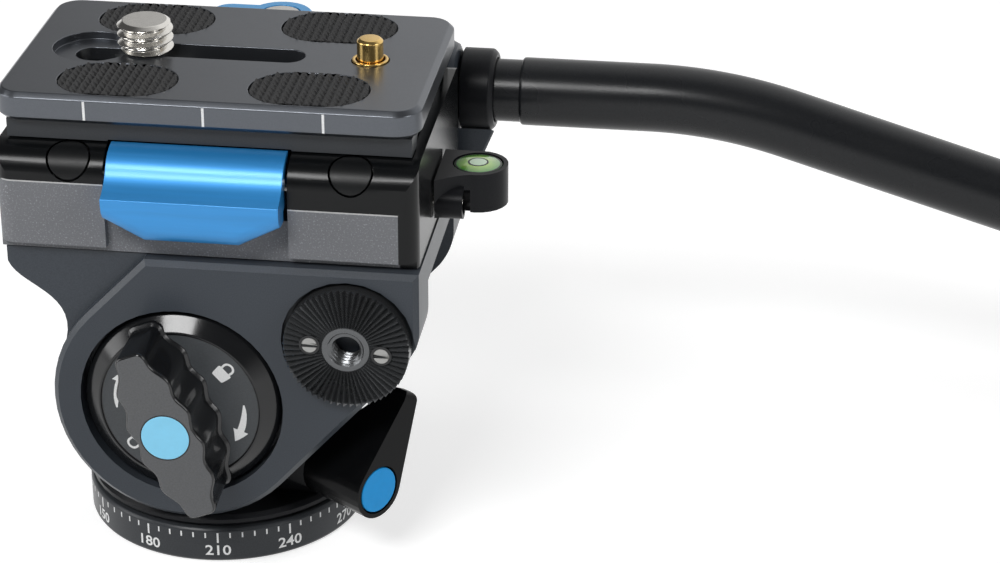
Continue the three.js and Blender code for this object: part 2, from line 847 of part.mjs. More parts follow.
function makeTiltLockKnob() {
  const seat = knobSeatY + clearance;
  const rimFace = knobFaceY - knobRimDrop;
  const dial = turned([
    [0, seat], [knobRadius, seat], [knobRadius, rimFace], [knobFaceRadius, knobFaceY], [0, knobFaceY],
  ], fine);
  const grip = slabZ(wingOutline(), knobFaceY - overrun, wingFaceY, wingBevel).rotateZ(radians(-wingTurn));
  const capRoom = rod(knobCapRadius + clearance, wingFaceY - knobCapDepth - clearance, wingFaceY + overrun);
  const axleRoom = rod(axleRadius + clearance, 0, axleHalfLength + clearance, coarse);
  const nutRoom = rod(knobNutRadius + clearance, 0, seat + knobNutDepth + clearance);
  const shape = cut(join(dial, grip), capRoom, axleRoom, nutRoom);
  return piece('tilt_lock_knob', toFront(shape).translate(tiltX, 0, tiltZ), 'casting');
}

function makeTiltLockCap() {
  const low = wingFaceY - knobCapDepth;
  const shape = rod(knobCapRadius, low, wingFaceY);
  return piece('tilt_lock_cap', toFront(shape).translate(tiltX, 0, tiltZ), 'sky');
}

function makeTiltLockNut() {
  const low = knobSeatY + clearance;
  const shape = ring(axleRadius + clearance, knobNutRadius, low, low + knobNutDepth);
  return piece('tilt_lock_nut', toFront(shape).translate(tiltX, 0, tiltZ), 'brass');
}

// Rosettes

function rosette(name, place) {
  const inner = socketRadius + clearance / 2;
  const disc = toothedDisc(rosetteRadius, inner, rosetteBackY, rosetteFrontY, 0);
  const hub = ring(socketBoreRadius, inner + hubLap, rosetteBackY, rosetteFrontY - toothHeight);
  const bores = [0, 1].map((i) => {
    const angle = radians(rosetteScrewTurn) + i * Math.PI;
    const [u, v] = [rosetteScrewPitchRadius * Math.cos(angle), rosetteScrewPitchRadius * Math.sin(angle)];
    const low = rosetteFrontY - rosetteScrewLength - clearance;
    return rod(rosetteScrewRadius + clearance, low, rosetteFrontY + overrun, coarse).translate(u, v, 0);
  });
  return piece(name, place(cut(join(disc, hub), ...bores)).translate(rosetteX, 0, rosetteZ), 'casting');
}

function rosetteScrew(name, side, place) {
  const angle = radians(rosetteScrewTurn) + (side * Math.PI);
  const [u, v] = [rosetteScrewPitchRadius * Math.cos(angle), rosetteScrewPitchRadius * Math.sin(angle)];
  const high = rosetteFrontY - toothHeight;
  const body = rod(rosetteScrewRadius, rosetteFrontY - rosetteScrewLength, high, coarse);
  const reach = rosetteScrewRadius + overrun;
  const half = rosetteScrewSlotWidth / 2;
  const slot = block(-reach, reach, -half, half, high - toothHeight, high + overrun);
  const shape = cut(body, slot).translate(u, v, 0);
  return piece(name, place(shape).translate(rosetteX, 0, rosetteZ), 'steel');
}

// Clamp platform

function platformOutline() {
  const front = platformHalfWidth;
  const foot = platformHalfWidth - footInset;
  const outline = new THREE.Shape();
  outline.moveTo(-foot, platformFoot);
  outline.lineTo(foot, platformFoot);
  outline.lineTo(foot, platformBody);
  outline.lineTo(front, platformBody);
  outline.lineTo(front, shoulderZ);
  outline.absarc(front - shoulderRadius, shoulderZ, shoulderRadius, 0, Math.PI / 2, false);
  outline.lineTo(-front + shoulderRadius, platformFloor);
  outline.absarc(-front + shoulderRadius, shoulderZ, shoulderRadius, Math.PI / 2, Math.PI, false);
  outline.lineTo(-front, platformBody);
  outline.lineTo(-foot, platformBody);
  return outline;
}

function plugPlace(geometry, x) {
  return geometry.rotateX(Math.PI / 4)
    .translate(x, -platformHalfWidth + shoulderRadius, shoulderZ);
}

// How far the dovetail's flank leans in between its foot and the jaw's top.
function jawLean() {
  const share = (jawTop - dovetailFoot) / (slabUnderside - dovetailFoot);
  return (dovetailHalfBottom - dovetailHalfNeck) * share;
}

// The fixed jaw at the back leans over the plate's dovetail.
function rearJawOutline() {
  const bottom = dovetailHalfBottom + clearance;
  const lean = jawLean();
  return polygon([
    [bottom, platformFloor - overrun], [-jawOuterY, platformFloor - overrun], [-jawOuterY, jawTop],
    [bottom - lean, jawTop], [bottom, dovetailFoot],
  ]);
}

function makePlatform() {
  const side = slabX(platformOutline(), platformLeftX, platformRightX, 0, 8);
  const half = platformHalfWidth;
  const plan = roundedRectangle(platformLeftX, platformRightX, -half, half, platformCorner);
  const body = common(side, slabZ(plan, platformFoot - overrun, platformFloor + overrun, 0, 6));
  const rearJaw = slabX(rearJawOutline(), platformLeftX + jawEndInset, platformRightX - jawEndInset);
  const lugTop = rearLeverTop - rearLeverThickness - clearance;
  const lug = rod(rearLugRadius, lugTop - rearLugHeight, lugTop, coarse).translate(rearLeverX, rearLeverY, 0);
  const lugFoot = block(rearLeverX - rearLugRadius, rearLeverX + rearLugRadius, platformHalfWidth - overrun,
    rearLeverY, lugTop - rearLugHeight, shoulderZ);
  const sweep = leverRadius + clearance;
  const leverRoom = toX(rod(sweep, recessLeftX, recessRightX, medium)).translate(0, leverPivotY, leverPivotZ);
  const frontRoomEnd = leverPivotY - leverEyeRadius;
  const frontRoom = block(recessLeftX, recessRightX, -platformHalfWidth - overrun, frontRoomEnd,
    platformFoot - overrun, leverPivotZ);
  const topRoom = block(recessLeftX, recessRightX, -platformHalfWidth - overrun, leverPivotY,
    leverPivotZ, platformFloor + overrun);
  const pinLow = recessLeftX - leverPinInset - clearance;
  const pinHigh = recessRightX + leverPinInset + clearance;
  const pinBore = toX(rod(leverPinRadius + clearance, pinLow, pinHigh, coarse));
  pinBore.translate(0, leverPivotY, leverPivotZ);
  const plugFloor = shoulderRadius - plugLength - clearance;
  const plugRooms = [plugLeftX, plugRightX].map((x) => (
    plugPlace(rod(plugRadius + clearance, plugFloor, shoulderRadius + 2 * overrun), x)));
  const stemRoom = block(platformLeftX - overrun, platformLeftX + buttonDepth + buttonTravel + clearance,
    buttonLowY - clearance, buttonStemHighY + clearance, buttonFoot - clearance, buttonStemTop + clearance);
  const buttonRoom = block(platformLeftX - overrun, platformLeftX + buttonTravel - clearance,
    buttonLowY - clearance, platformHalfWidth + overrun, buttonFoot - clearance, platformFloor + overrun);
  const lugFloor = lugTop - rearLugHeight + overrun;
  const screwBore = rod(rearScrewRadius + clearance, lugFloor, lugTop + overrun, coarse);
  screwBore.translate(rearLeverX, rearLeverY, 0);
  const boreDepth = platformRightX - holderScrewDepth;
  const holderBore = toX(rod(holderShankRadius + clearance, boreDepth, platformRightX + overrun, coarse));
  holderBore.translate(0, bossY, bossZ);
  const leverRooms = [leverRoom, frontRoom, topRoom, pinBore];
  const buttonRooms = [stemRoom, buttonRoom];
  const whole = join(body, rearJaw, lug, lugFoot);
  const shape = cut(whole, ...leverRooms, ...plugRooms, ...buttonRooms, screwBore, holderBore);
  return piece('clamp_platform', shape, 'casting');
}

function makePlug(name, x) {
  const upright = rod(plugRadius, shoulderRadius - plugLength, shoulderRadius + overrun, medium);
  const rodShape = plugPlace(upright, x);
  const shoulder = toX(rod(shoulderRadius, x - 2 * plugRadius, x + 2 * plugRadius, fine))
    .translate(0, -platformHalfWidth + shoulderRadius, shoulderZ);
  return piece(name, common(rodShape, shoulder), 'black');
}

// Clamp lever and jaw

function makeLeverPin() {
  const shape = rod(leverPinRadius, recessLeftX - leverPinInset, recessRightX + leverPinInset, coarse);
  return piece('lever_pin', toX(shape).translate(0, leverPivotY, leverPivotZ), 'steel');
}

const leverLowX = recessLeftX + 2 * clearance;
const leverHighX = recessRightX - 2 * clearance;

// The lever's side view: a round shell over the pivot flares out to a crease, and below it hangs the lip.
function leverProfile() {
  const outline = new THREE.Shape();
  const inner = leverPivotY - leverRadius + leverWall;
  const lipBack = leverLipY + leverLipThickness;
  const lipShoulder = leverCreaseZ - leverWall;
  const turn = radians(leverRoundEnd);
  const reach = [Math.cos(turn) * leverRadius, Math.sin(turn) * leverRadius];
  const flare = [-Math.sin(turn) * leverFlare, Math.cos(turn) * leverFlare];
  outline.moveTo(leverPivotY, leverPivotZ + leverRadius);
  outline.absarc(leverPivotY, leverPivotZ, leverRadius, Math.PI / 2, turn, false);
  outline.quadraticCurveTo(
    leverPivotY + reach[0] + flare[0], leverPivotZ + reach[1] + flare[1], leverLipY, leverCreaseZ);
  outline.lineTo(leverLipY, leverLipFoot);
  outline.lineTo(lipBack, leverLipFoot);
  outline.lineTo(lipBack, lipShoulder);
  outline.quadraticCurveTo(inner, lipShoulder, inner, leverPivotZ);
  outline.absarc(leverPivotY, leverPivotZ, leverRadius - leverWall, Math.PI, Math.PI / 2, true);
  return outline;
}

// The lever's front view: cut corners at the foot of the lip, rounded over towards its front face.
function leverFront() {
  const low = leverLowX - leverRoundHeight;
  const high = leverHighX + leverRoundHeight;
  const top = leverPivotZ + leverRadius + leverRoundHeight;
  const slope = leverCornerHeight / leverCornerWidth;
  const cornerTop = leverLipFoot + leverCornerHeight + leverRoundHeight * slope;
  const outline = polygon([
    [leverLowX + leverCornerWidth, leverLipFoot], [leverHighX - leverCornerWidth, leverLipFoot],
    [high, cornerTop], [high, top], [low, top], [low, cornerTop],
  ]);
  const depth = leverPivotY - leverLipY;
  const rounding = { bevelThickness: leverRoundDepth, bevelSize: leverRoundHeight, bevelSegments: 3 };
  const slab = new THREE.ExtrudeGeometry(outline, { depth, bevelOffset: -leverRoundHeight, ...rounding });
  return slab.translate(0, 0, -leverPivotY - leverRoundDepth).rotateX(Math.PI / 2);
}

function onLeverPivot(radius, low, high) {
  return toX(rod(radius, low, high, coarse)).translate(0, leverPivotY, leverPivotZ);
}

function makeClampLever() {
  const shell = common(slabX(leverProfile(), leverLowX, leverHighX, 0, 12), leverFront());
  const half = leverEyeLength / 2;
  const webBack = leverPivotY - leverRadius + leverWall / 2;
  const webHalf = leverWebThickness / 2;
  const middle = (leverLowX + leverHighX) / 2;
  const eyes = [leverLowX + leverEyeLength, middle, leverHighX - leverEyeLength].map((x) => {
    const eye = onLeverPivot(leverEyeRadius, x - half, x + half);
    const [low, high] = [leverPivotZ - webHalf, leverPivotZ + webHalf];
    return join(eye, block(x - half, x + half, webBack, leverPivotY, low, high));
  });
  const bore = onLeverPivot(leverPinRadius + clearance, leverLowX - overrun, leverHighX + overrun);
  return piece('clamp_lever', cut(join(shell, ...eyes), bore), 'blue');
}

function makeClampJaw() {
  const bottom = -dovetailHalfBottom - clearance;
  const foot = platformFloor + clearance;
  const lean = jawLean();
  const outline = polygon([[jawOuterY, foot], [bottom, foot], [bottom, dovetailFoot], [bottom + lean, jawTop],
    [jawOuterY, jawTop]]);
  const bar = slabX(outline, platformLeftX + jawEndInset, platformRightX - jawEndInset);
  const sweep = leverRadius + clearance;
  const room = [0, jawTravel].map((shift) => toX(rod(sweep, recessLeftX, recessRightX))
    .translate(0, leverPivotY + shift, leverPivotZ));
  return piece('clamp_jaw', cut(bar, ...room), 'casting');
}

// Safety button

function makeSafetyButton() {
  const outerX = platformLeftX - buttonProud;
  const stemEnd = platformLeftX + buttonDepth;
  const stem = block(platformLeftX - overrun, stemEnd, buttonLowY, buttonStemHighY,
    buttonFoot, buttonStemTop);
  const face = roundedRectangle(buttonLowY, buttonHighY, buttonFoot, buttonTop, buttonCorner);
  const head = slabX(face, outerX, platformLeftX - clearance * 2, buttonCorner / 2, 4);
  return piece('safety_button', join(stem, head), 'blue');
}

// Rear stop lever

function makeRearLever() {
  const low = rearLeverTop - rearLeverThickness;
  const round = circle(rearLeverX, rearLeverY, rearLeverRadius);
  const disc = slabZ(round, low, rearLeverTop, rearLeverBevel, 16);
  const bar = stadium(rearLeverX - rearLeverReach, rearLeverX, rearLeverY, rearLeverTipRadius);
  const arm = slabZ(bar, low, rearLeverTop, rearLeverBevel, 8);
  const bore = rod(rearScrewRadius + clearance, low - overrun, rearLeverTop + overrun, coarse);
  const sinkFloor = rearLeverTop - rearScrewHeadHeight;
  const sink = rod(rearScrewHeadRadius + clearance, sinkFloor, rearLeverTop + overrun);
  const place = (geometry) => geometry.translate(rearLeverX, rearLeverY, 0);
  return piece('rear_stop_lever', cut(join(disc, arm), place(bore), place(sink)), 'blue');
}

function makeRearLeverScrew() {
  const high = rearLeverTop;
  const headLow = rearLeverTop - rearScrewHeadHeight + clearance;
  const foot = rearLeverTop - rearLeverThickness - rearLugHeight + 2 * overrun;
  const shape = turned([
    [0, foot], [rearScrewRadius, foot], [rearScrewRadius, headLow], [rearScrewHeadRadius, headLow],
    [rearScrewHeadRadius, high], [0, high],
  ]);
  return piece('rear_lever_screw', shape.translate(rearLeverX, rearLeverY, 0), 'steel');
}

// Level

function makeLevelHolder() {
  const endX = platformRightX + clearance;
  const eye = rod(levelRadius, levelFoot, levelTop).translate(levelX, 0, 0);
  const inside = levelRadius - levelArmLap;
  const arm = slabZ(polygon([
    [endX, levelArmFrontY], [levelX - levelArmInset, levelArmFrontY + levelArmInset],
    [levelX, -inside], [levelX, inside], [endX, levelRadius],
  ]), levelFoot, levelTop);
  const onBoss = (shape) => toX(shape).translate(0, bossY, bossZ);
  const boss = onBoss(rod(bossRadius, endX, bossEndX));
  const cup = rod(vialRadius + clearance, levelTop - vialDepth - clearance, levelTop + overrun);
  cup.translate(levelX, 0, 0);
  const headSeat = bossEndX - holderScrewDepth;
  const head = onBoss(rod(holderScrewRadius + clearance, headSeat, bossEndX + overrun, coarse));
  const shank = onBoss(rod(holderShankRadius + clearance, endX - overrun, bossEndX, coarse));
  return piece('level_holder', cut(join(eye, arm, boss), cup, head, shank), 'casting');
}

function makeLevelVial() {
  const low = levelTop - vialDepth;
  const high = levelTop + clearance;
  const shape = turned([
    [0, low], [vialRadius, low], [vialRadius, levelTop], [vialRadius - overrun, high], [0, high],
  ]);
  return piece('level_vial', shape.translate(levelX, 0, 0), 'glass');
}

function makeHolderScrew() {
  const headLow = bossEndX - holderScrewDepth + clearance;
  const high = bossEndX - clearance;
  const tip = platformRightX - holderScrewDepth + clearance;
  const shape = turned([
    [0, tip], [holderShankRadius, tip], [holderShankRadius, headLow], [holderScrewRadius, headLow],
    [holderScrewRadius, high], [holderShankRadius, high], [holderShankRadius, high - overrun],
    [0, high - overrun],
  ], coarse);
  return piece('level_holder_screw', toX(shape).translate(0, bossY, bossZ), 'steel');
}

// Quick-release plate

function padPlaces() {
  const sides = { left: -1, right: 1, front: -1, rear: 1 };
  const corners = ['left_front', 'right_front', 'left_rear', 'right_rear'];
  return corners.map((corner) => {
    const [sideX, sideY] = corner.split('_').map((side) => sides[side]);
    return [`pad_${corner}`, plateX + sideX * padHalfSpanX, sideY * padHalfSpanY];
  });
}

function padOutline(x, y, grow) {
  return stadium(x - padLength / 2 - grow, x + padLength / 2 + grow, y, padWidth / 2 + grow);
}

function makePlate() {
  const [low, high] = [plateX - plateLength / 2, plateX + plateLength / 2];
  const plan = roundedRectangle(low, high, -plateWidth / 2, plateWidth / 2, plateCorner);
  const slab = slabZ(plan, slabUnderside, plateTop, plateChamfer, 6);
  const tail = slabX(polygon([
    [-dovetailHalfBottom, dovetailFoot], [dovetailHalfBottom, dovetailFoot],
    [dovetailHalfNeck, slabUnderside], [dovetailHalfNeck, slabUnderside + plateChamfer],
    [-dovetailHalfNeck, slabUnderside + plateChamfer], [-dovetailHalfNeck, slabUnderside],
  ]), low + tailInset, high - tailInset);
  const [slotLow, slotHigh] = [plateX + slotLeftX, plateX + slotRightX];
  const half = headChannelHalfWidth;
  const channelFoot = dovetailFoot - overrun;
  const channel = block(slotLow - half, slotHigh + half, -half, half, channelFoot, headChannelTop);
  const above = plateTop + overrun;
  const slotPlan = stadium(slotLow - slotHalfWidth, slotHigh + slotHalfWidth, 0, slotHalfWidth);
  const slot = slabZ(slotPlan, headChannelTop - overrun, above, 0, 8);
  const rim = rod(slotRimRadius, plateTop - slotRimDepth, above).translate(slotLow, 0, 0);
  const pads = padPlaces().map(([, x, y]) => (
    slabZ(padOutline(x, y, clearance / 2), plateTop - padDepth, above, 0, 8)));
  const pinBore = rod(pinCollarRadius + clearance / 2, pinRoomFloor, above).translate(plateX + pinX, 0, 0);
  const shape = cut(join(slab, tail), channel, slot, rim, ...pads, pinBore);
  return piece('quick_release_plate', shape, 'anodised');
}

function makePads() {
  return padPlaces().map(([name, x, y]) => {
    const shape = slabZ(padOutline(x, y, 0), plateTop - padDepth + clearance / 2, plateTop + padProud, 0, 8);
    return piece(name, shape, 'rubber');
  });
}

function makeCameraScrew() {
  const headTop = headChannelTop - screwWasherHeight - 2 * clearance;
  const headLow = headTop - screwHeadHeight;
  const threadLow = plateTop + clearance;
  const tip = plateTop + screwProud;
  const threadHigh = tip - screwThreadRadius + screwTipRadius;
  const body = turned([
    [0, headLow], [screwHeadRadius, headLow], [screwHeadRadius, headTop], [screwNeckRadius, headTop],
    [screwNeckRadius, threadLow], [screwThreadRadius, threadLow], [screwThreadRadius, threadHigh],
    [screwTipRadius, tip], [0, tip],
  ]);
  const reach = screwHeadRadius + overrun;
  const half = coinSlotWidth / 2;
  const slot = block(-reach, reach, -half, half, headLow - overrun, headLow + coinSlotDepth);
  return piece('camera_screw', cut(body, slot).translate(plateX + screwX, 0, 0), 'steel');
}

function makeScrewWasher() {
  const high = headChannelTop - clearance;
  const shape = ring(screwNeckRadius + clearance, screwWasherRadius, high - screwWasherHeight, high);
  return piece('camera_screw_washer', shape.translate(plateX + screwX, 0, 0), 'polymer');
}

function makeVideoPin() {
  const high = plateTop + pinProud;
  const shape = turned([
    [0, pinFoot], [pinFlangeRadius, pinFoot], [pinFlangeRadius, pinFoot + pinFlangeHeight],
    [pinRadius, pinFoot + pinFlangeHeight], [pinRadius, high - pinTopRound],
    [pinRadius - pinTopRound, high], [0, high],
  ]);
  return piece('video_pin', shape.translate(plateX + pinX, 0, 0), 'brass');
}

function makePinCollar() {
  const low = plateTop - pinCollarHeight + clearance / 2;
  const shape = ring(pinRadius + clearance, pinCollarRadius, low, plateTop + clearance);
  return piece('video_pin_collar', shape.translate(plateX + pinX, 0, 0), 'brass');
}

function makePinSpring() {
  const low = pinFoot - clearance - pinSpringTurns * pinSpringPitch - pinSpringWire;
  const shape = coil(pinSpringRadius, pinSpringWire, pinSpringTurns, pinSpringPitch, low);
  return piece('video_pin_spring', shape.translate(plateX + pinX, 0, 0), 'steel');
}

// Pan lock lever

// Seen along its pivot the lever is a drop: the hub's round, two straight flanks and a narrow rounded tip.
function panLockDrop() {
  const half = panLockTipHalfWidth;
  const shoulder = panLockLength - half;
  const narrowing = Math.asin((panLockRadius - half) / shoulder);
  const outline = new THREE.Shape();
  outline.absarc(0, 0, panLockRadius, Math.PI - narrowing, 2 * Math.PI + narrowing, false);
  outline.lineTo(half, shoulder);
  outline.quadraticCurveTo(half, panLockLength, 0, panLockLength);
  outline.quadraticCurveTo(-half, panLockLength, -half, shoulder);
  return outline;
}

// Seen from the side its outer face is flat, and its back slopes from the hub out to the tip.
function panLockSide() {
  const half = panLockTipHalfWidth;
  const shoulder = panLockLength - half;
  const outline = new THREE.Shape();
  outline.moveTo(panLockBack, -panLockRadius);
  outline.lineTo(panLockEnd, -panLockRadius);
  outline.lineTo(panLockEnd, shoulder);
  outline.quadraticCurveTo(panLockEnd, panLockLength, panLockEnd - half, panLockLength);
  outline.quadraticCurveTo(panLockTipBack, panLockLength, panLockTipBack, shoulder);
  outline.lineTo(panLockBack, panLockRadius);
  return outline;
}

function makePanLockLever() {
  const hub = toX(rod(panLockRadius, panLockStart, panLockEnd));
  const side = slabY(panLockSide(), -panLockRadius, panLockRadius, 0, 5);
  const blade = common(side, slabX(panLockDrop(), panLockStart, panLockEnd, 0, 9));
  const studEnd = panLockStudReach + clearance;
  const studRoom = toX(rod(panLockStudRadius + clearance, panLockStart - overrun, studEnd, coarse));
  const capSeat = panLockEnd - panLockCapDepth - clearance;
  const capRoom = toX(rod(panLockCapRadius + clearance, capSeat, panLockEnd + overrun));
  const shape = cut(join(hub, blade), studRoom, capRoom).rotateX(radians(-panLockLean));
  return piece('pan_lock_lever', shape.rotateZ(radians(panLockTurn)).translate(0, 0, panLockZ), 'black');
}

function makePanLockCap() {
  const shape = rod(panLockCapRadius, panLockEnd - panLockCapDepth, panLockEnd);
  return piece('pan_lock_cap', panLockPlace(shape), 'sky');
}

function makePanLockStud() {
  const low = spindleRadius + shoeLift + shoeThickness + clearance;
  return piece('pan_lock_stud', panLockPlace(rod(panLockStudRadius, low, panLockStudReach, coarse)), 'steel');
}

// Pan bar

function onRosetteAxis(geometry) {
  return toY(geometry).translate(rosetteX, 0, rosetteZ);
}

// The holder's arm in side view: it hugs the toothed disc and widens to the sleeve that takes the bar.
function holderArmOutline() {
  const outline = new THREE.Shape();
  outline.moveTo(rosetteX - rosetteRadius, rosetteZ);
  outline.absarc(rosetteX, rosetteZ, rosetteRadius, Math.PI, 2 * Math.PI, false);
  outline.lineTo(armRightX, armRightZ);
  outline.lineTo(armRightX, barAxisZ);
  outline.lineTo(sleeveStartX, barAxisZ);
  return outline;
}

function makeBarHolder() {
  const teethBase = holderFaceY + toothHeight + overrun;
  const teeth = toothedDisc(rosetteRadius, socketRadius, -teethBase, -holderFaceY, 0);
  const face = teeth.rotateX(Math.PI / 2).translate(rosetteX, 0, rosetteZ);
  const arm = slabY(holderArmOutline(), holderFaceY + armSetBack, holderBackY, armBevel, 16);
  const sleeve = turned([
    [0, sleeveStartX], [sleeveRadius - sleeveRound, sleeveStartX], [sleeveRadius, sleeveStartX + sleeveRound],
    [sleeveRadius, sleeveEndX - sleeveRound], [sleeveRadius - sleeveLip, sleeveEndX - sleeveLip],
    [sleeveRadius - sleeveRound, sleeveEndX], [0, sleeveEndX],
  ]);
  const barRoom = rod(barNeckRadius + clearance, barSeatX - clearance, sleeveEndX + overrun);
  const lay = (geometry) => toX(geometry).translate(0, barAxisY, barAxisZ);
  const collarRoom = rod(collarRadius + clearance, sleeveEndX, collarEndX + overrun);
  const screwRoom = rod(barScrewRadius + clearance, holderFaceY - overrun, holderBackY + overrun, coarse);
  const shape = cut(join(face, arm, lay(sleeve)), lay(barRoom), lay(collarRoom), onRosetteAxis(screwRoom));
  return piece('bar_holder', shape, 'casting');
}

function makeBarCollar() {
  const low = sleeveEndX + clearance;
  const inner = barNeckRadius + clearance;
  const shape = turned([
    [inner, low], [collarRadius, low], [collarRadius, collarEndX - collarBevel],
    [collarRadius - collarBevel, collarEndX], [inner, collarEndX],
  ]);
  return piece('bar_collar', toX(shape).translate(0, barAxisY, barAxisZ), 'black');
}

// The bar's centre line: level out of the collar, a gentle bend, and a straight slope to the grip.
function barLine() {
  const path = new THREE.CurvePath();
  const angle = radians(barBendAngle);
  const point = (x, z) => new THREE.Vector3(x, barAxisY, z);
  const bendX = barBendStartX + barBendRadius * Math.sin(angle);
  const bendZ = barAxisZ - barBendRadius * (1 - Math.cos(angle));
  const handle = barBendRadius * Math.tan(angle / 2);
  const [bendStart, bendEnd] = [point(barBendStartX, barAxisZ), point(bendX, bendZ)];
  path.add(new THREE.LineCurve3(point(barNeckEndX, barAxisZ), bendStart));
  path.add(new THREE.QuadraticBezierCurve3(bendStart, point(barBendStartX + handle, barAxisZ), bendEnd));
  const end = point(bendX + barSlopeLength * Math.cos(angle), bendZ - barSlopeLength * Math.sin(angle));
  path.add(new THREE.LineCurve3(bendEnd, end));
  return { path, end };
}

// The ends of the straight runs and the steps of the bend between them.
function barPlaces() {
  const { path } = barLine();
  const bend = path.curves[1].getPoints(barBendSteps);
  return [path.curves[0].getPoint(0), ...bend, path.curves[2].getPoint(1)];
}

// A section is set square on each place of the centre line, and the sections are joined into a tube.
function makeBarTube() {
  const places = barPlaces();
  const vertices = [];
  const index = [];
  places.forEach((place, i) => {
    const before = places[Math.max(0, i - 1)];
    const after = places[Math.min(places.length - 1, i + 1)];
    const along = after.clone().sub(before).normalize();
    const upward = new THREE.Vector3(-along.z, 0, along.x);
    for (let side = 0; side < barSides; side += 1) {
      const around = (side / barSides) * 2 * Math.PI;
      const vertex = place.clone().addScaledVector(upward, barRadius * Math.sin(around));
      vertex.y += barRadius * Math.cos(around);
      vertices.push(vertex.x, vertex.y, vertex.z);
    }
  });
  for (let i = 0; i < places.length - 1; i += 1) {
    for (let side = 0; side < barSides; side += 1) {
      const here = i * barSides + side;
      const next = i * barSides + ((side + 1) % barSides);
      index.push(here, next, next + barSides, here, next + barSides, here + barSides);
    }
  }
  const last = (places.length - 1) * barSides;
  for (let side = 1; side < barSides - 1; side += 1) {
    index.push(0, side + 1, side, last, last + side, last + side + 1);
  }
  const tube = new THREE.BufferGeometry();
  tube.setAttribute('position', new THREE.BufferAttribute(new Float32Array(vertices), 3));
  tube.setIndex(index);
  const neck = toX(rod(barNeckRadius, barSeatX, barNeckEndX + overrun, barSides));
  neck.translate(0, barAxisY, barAxisZ);
  return piece('bar_tube', join(tube, neck), 'black');
}

// The grip and its cap are turned shapes laid along the bar's last slope, with heights from the bar's end.
function onBarEnd(geometry) {
  const { end } = barLine();
  return toX(geometry).rotateY(radians(barBendAngle)).translate(end.x, end.y, end.z);
}

function makeBarGrip() {
  const inner = barRadius + clearance;
  const shape = turned([
    [inner, -gripLength], [gripRadius - gripRound, -gripLength], [gripRadius, -gripLength + gripRound],
    [gripRadius, -clearance - gripEdge], [gripRadius - gripEdge, -clearance], [inner, -clearance],
  ]);
  return piece('bar_grip', onBarEnd(shape), 'rubber');
}

function makeBarEndCap() {
  const low = clearance;
  const high = low + endCapLength;
  const outer = gripRadius - gripEdge;
  const shape = turned([
    [0, low], [outer, low], [outer, high - endCapChamfer], [outer - endCapChamfer, high], [0, high],
  ]);
  return piece('bar_end_cap', onBarEnd(shape), 'black');
}

function barKnobOutline() {
  const points = [];
  const count = barKnobLobes * stepsPerLobe;
  for (let i = 0; i < count; i += 1) {
    const angle = (i / count) * 2 * Math.PI;
    const radius = barKnobRadius - barKnobLobeDepth * (1 - Math.cos(barKnobLobes * angle)) / 2;
    points.push([radius * Math.cos(angle), radius * Math.sin(angle)]);
  }
  return polygon(points);
}

function makeBarKnob() {
  const low = holderBackY + clearance;
  const grip = slabZ(barKnobOutline(), low, low + barKnobHeight, collarBevel, 6);
  const bore = rod(barScrewRadius + clearance, low - overrun, low + barKnobHeight / 2, coarse);
  return piece('bar_lock_knob', onRosetteAxis(cut(grip, bore)), 'black');
}

function makeBarScrew() {
  const high = holderBackY + barKnobHeight / 2;
  return piece('bar_lock_screw', onRosetteAxis(rod(barScrewRadius, barScrewReach, high, coarse)), 'steel');
}

export default buildHead();

function buildHead() {
  const front = (geometry) => toFront(geometry);
  const rear = (geometry) => toY(geometry);
  const head = new THREE.Group();
  head.add(makeDialRing(), makeBasePlate(), makeTripodBush());
  head.add(makeThrustWasher(), makePanBearing(), makeSpindleClip());
  head.add(makePanHousing(), makeTiltBearing('tilt_bearing_front', -bearingInnerY - tiltBearingWidth));
  head.add(makeTiltBearing('tilt_bearing_rear', bearingInnerY));
  head.add(makeDamperCup(), makeBalanceSpring(), makePanShoe());
  head.add(makeTiltCasting(), makeTiltAxle(), makeDamperRotor(), makeBrakeDisc(), makeRearCover());
  head.add(makeTiltLockKnob(), makeTiltLockCap(), makeTiltLockNut());
  head.add(rosette('rosette_front', front), rosette('rosette_rear', rear));
  head.add(rosetteScrew('rosette_screw_right', 0, front), rosetteScrew('rosette_screw_left', 1, front));
  head.add(makePlatform());
  head.add(makePlug('shoulder_plug_left', plugLeftX), makePlug('shoulder_plug_right', plugRightX));
  head.add(makeLeverPin(), makeClampLever(), makeClampJaw(), makeSafetyButton());
  head.add(makeRearLever(), makeRearLeverScrew(), makeLevelHolder(), makeLevelVial(), makeHolderScrew());
  head.add(makePlate(), ...makePads(), makeCameraScrew(), makeScrewWasher());
  head.add(makeVideoPin(), makePinCollar(), makePinSpring());
  head.add(makePanLockLever(), makePanLockCap(), makePanLockStud());
  head.add(makeBarHolder(), makeBarCollar(), makeBarTube(), makeBarGrip());
  head.add(makeBarEndCap(), makeBarKnob(), makeBarScrew());
  return head;
}
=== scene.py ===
# %% [markdown]
# # A fluid video head
# A video head sits on a tripod and carries a camera. Its fork nods on a pan housing, and the housing
# turns on a base with a degree dial. A sliding plate on top holds the camera, and a bent bar steers the
# head. The CAD model gives every solid at a size worked out from the photograph or estimated. This lesson
# gives each one its finish, and rebuilds with numpy the pieces whose look depends on fine form: threads,
# teeth, print, rubber points and the bent bar.

# %% Load the frame
import json
import math

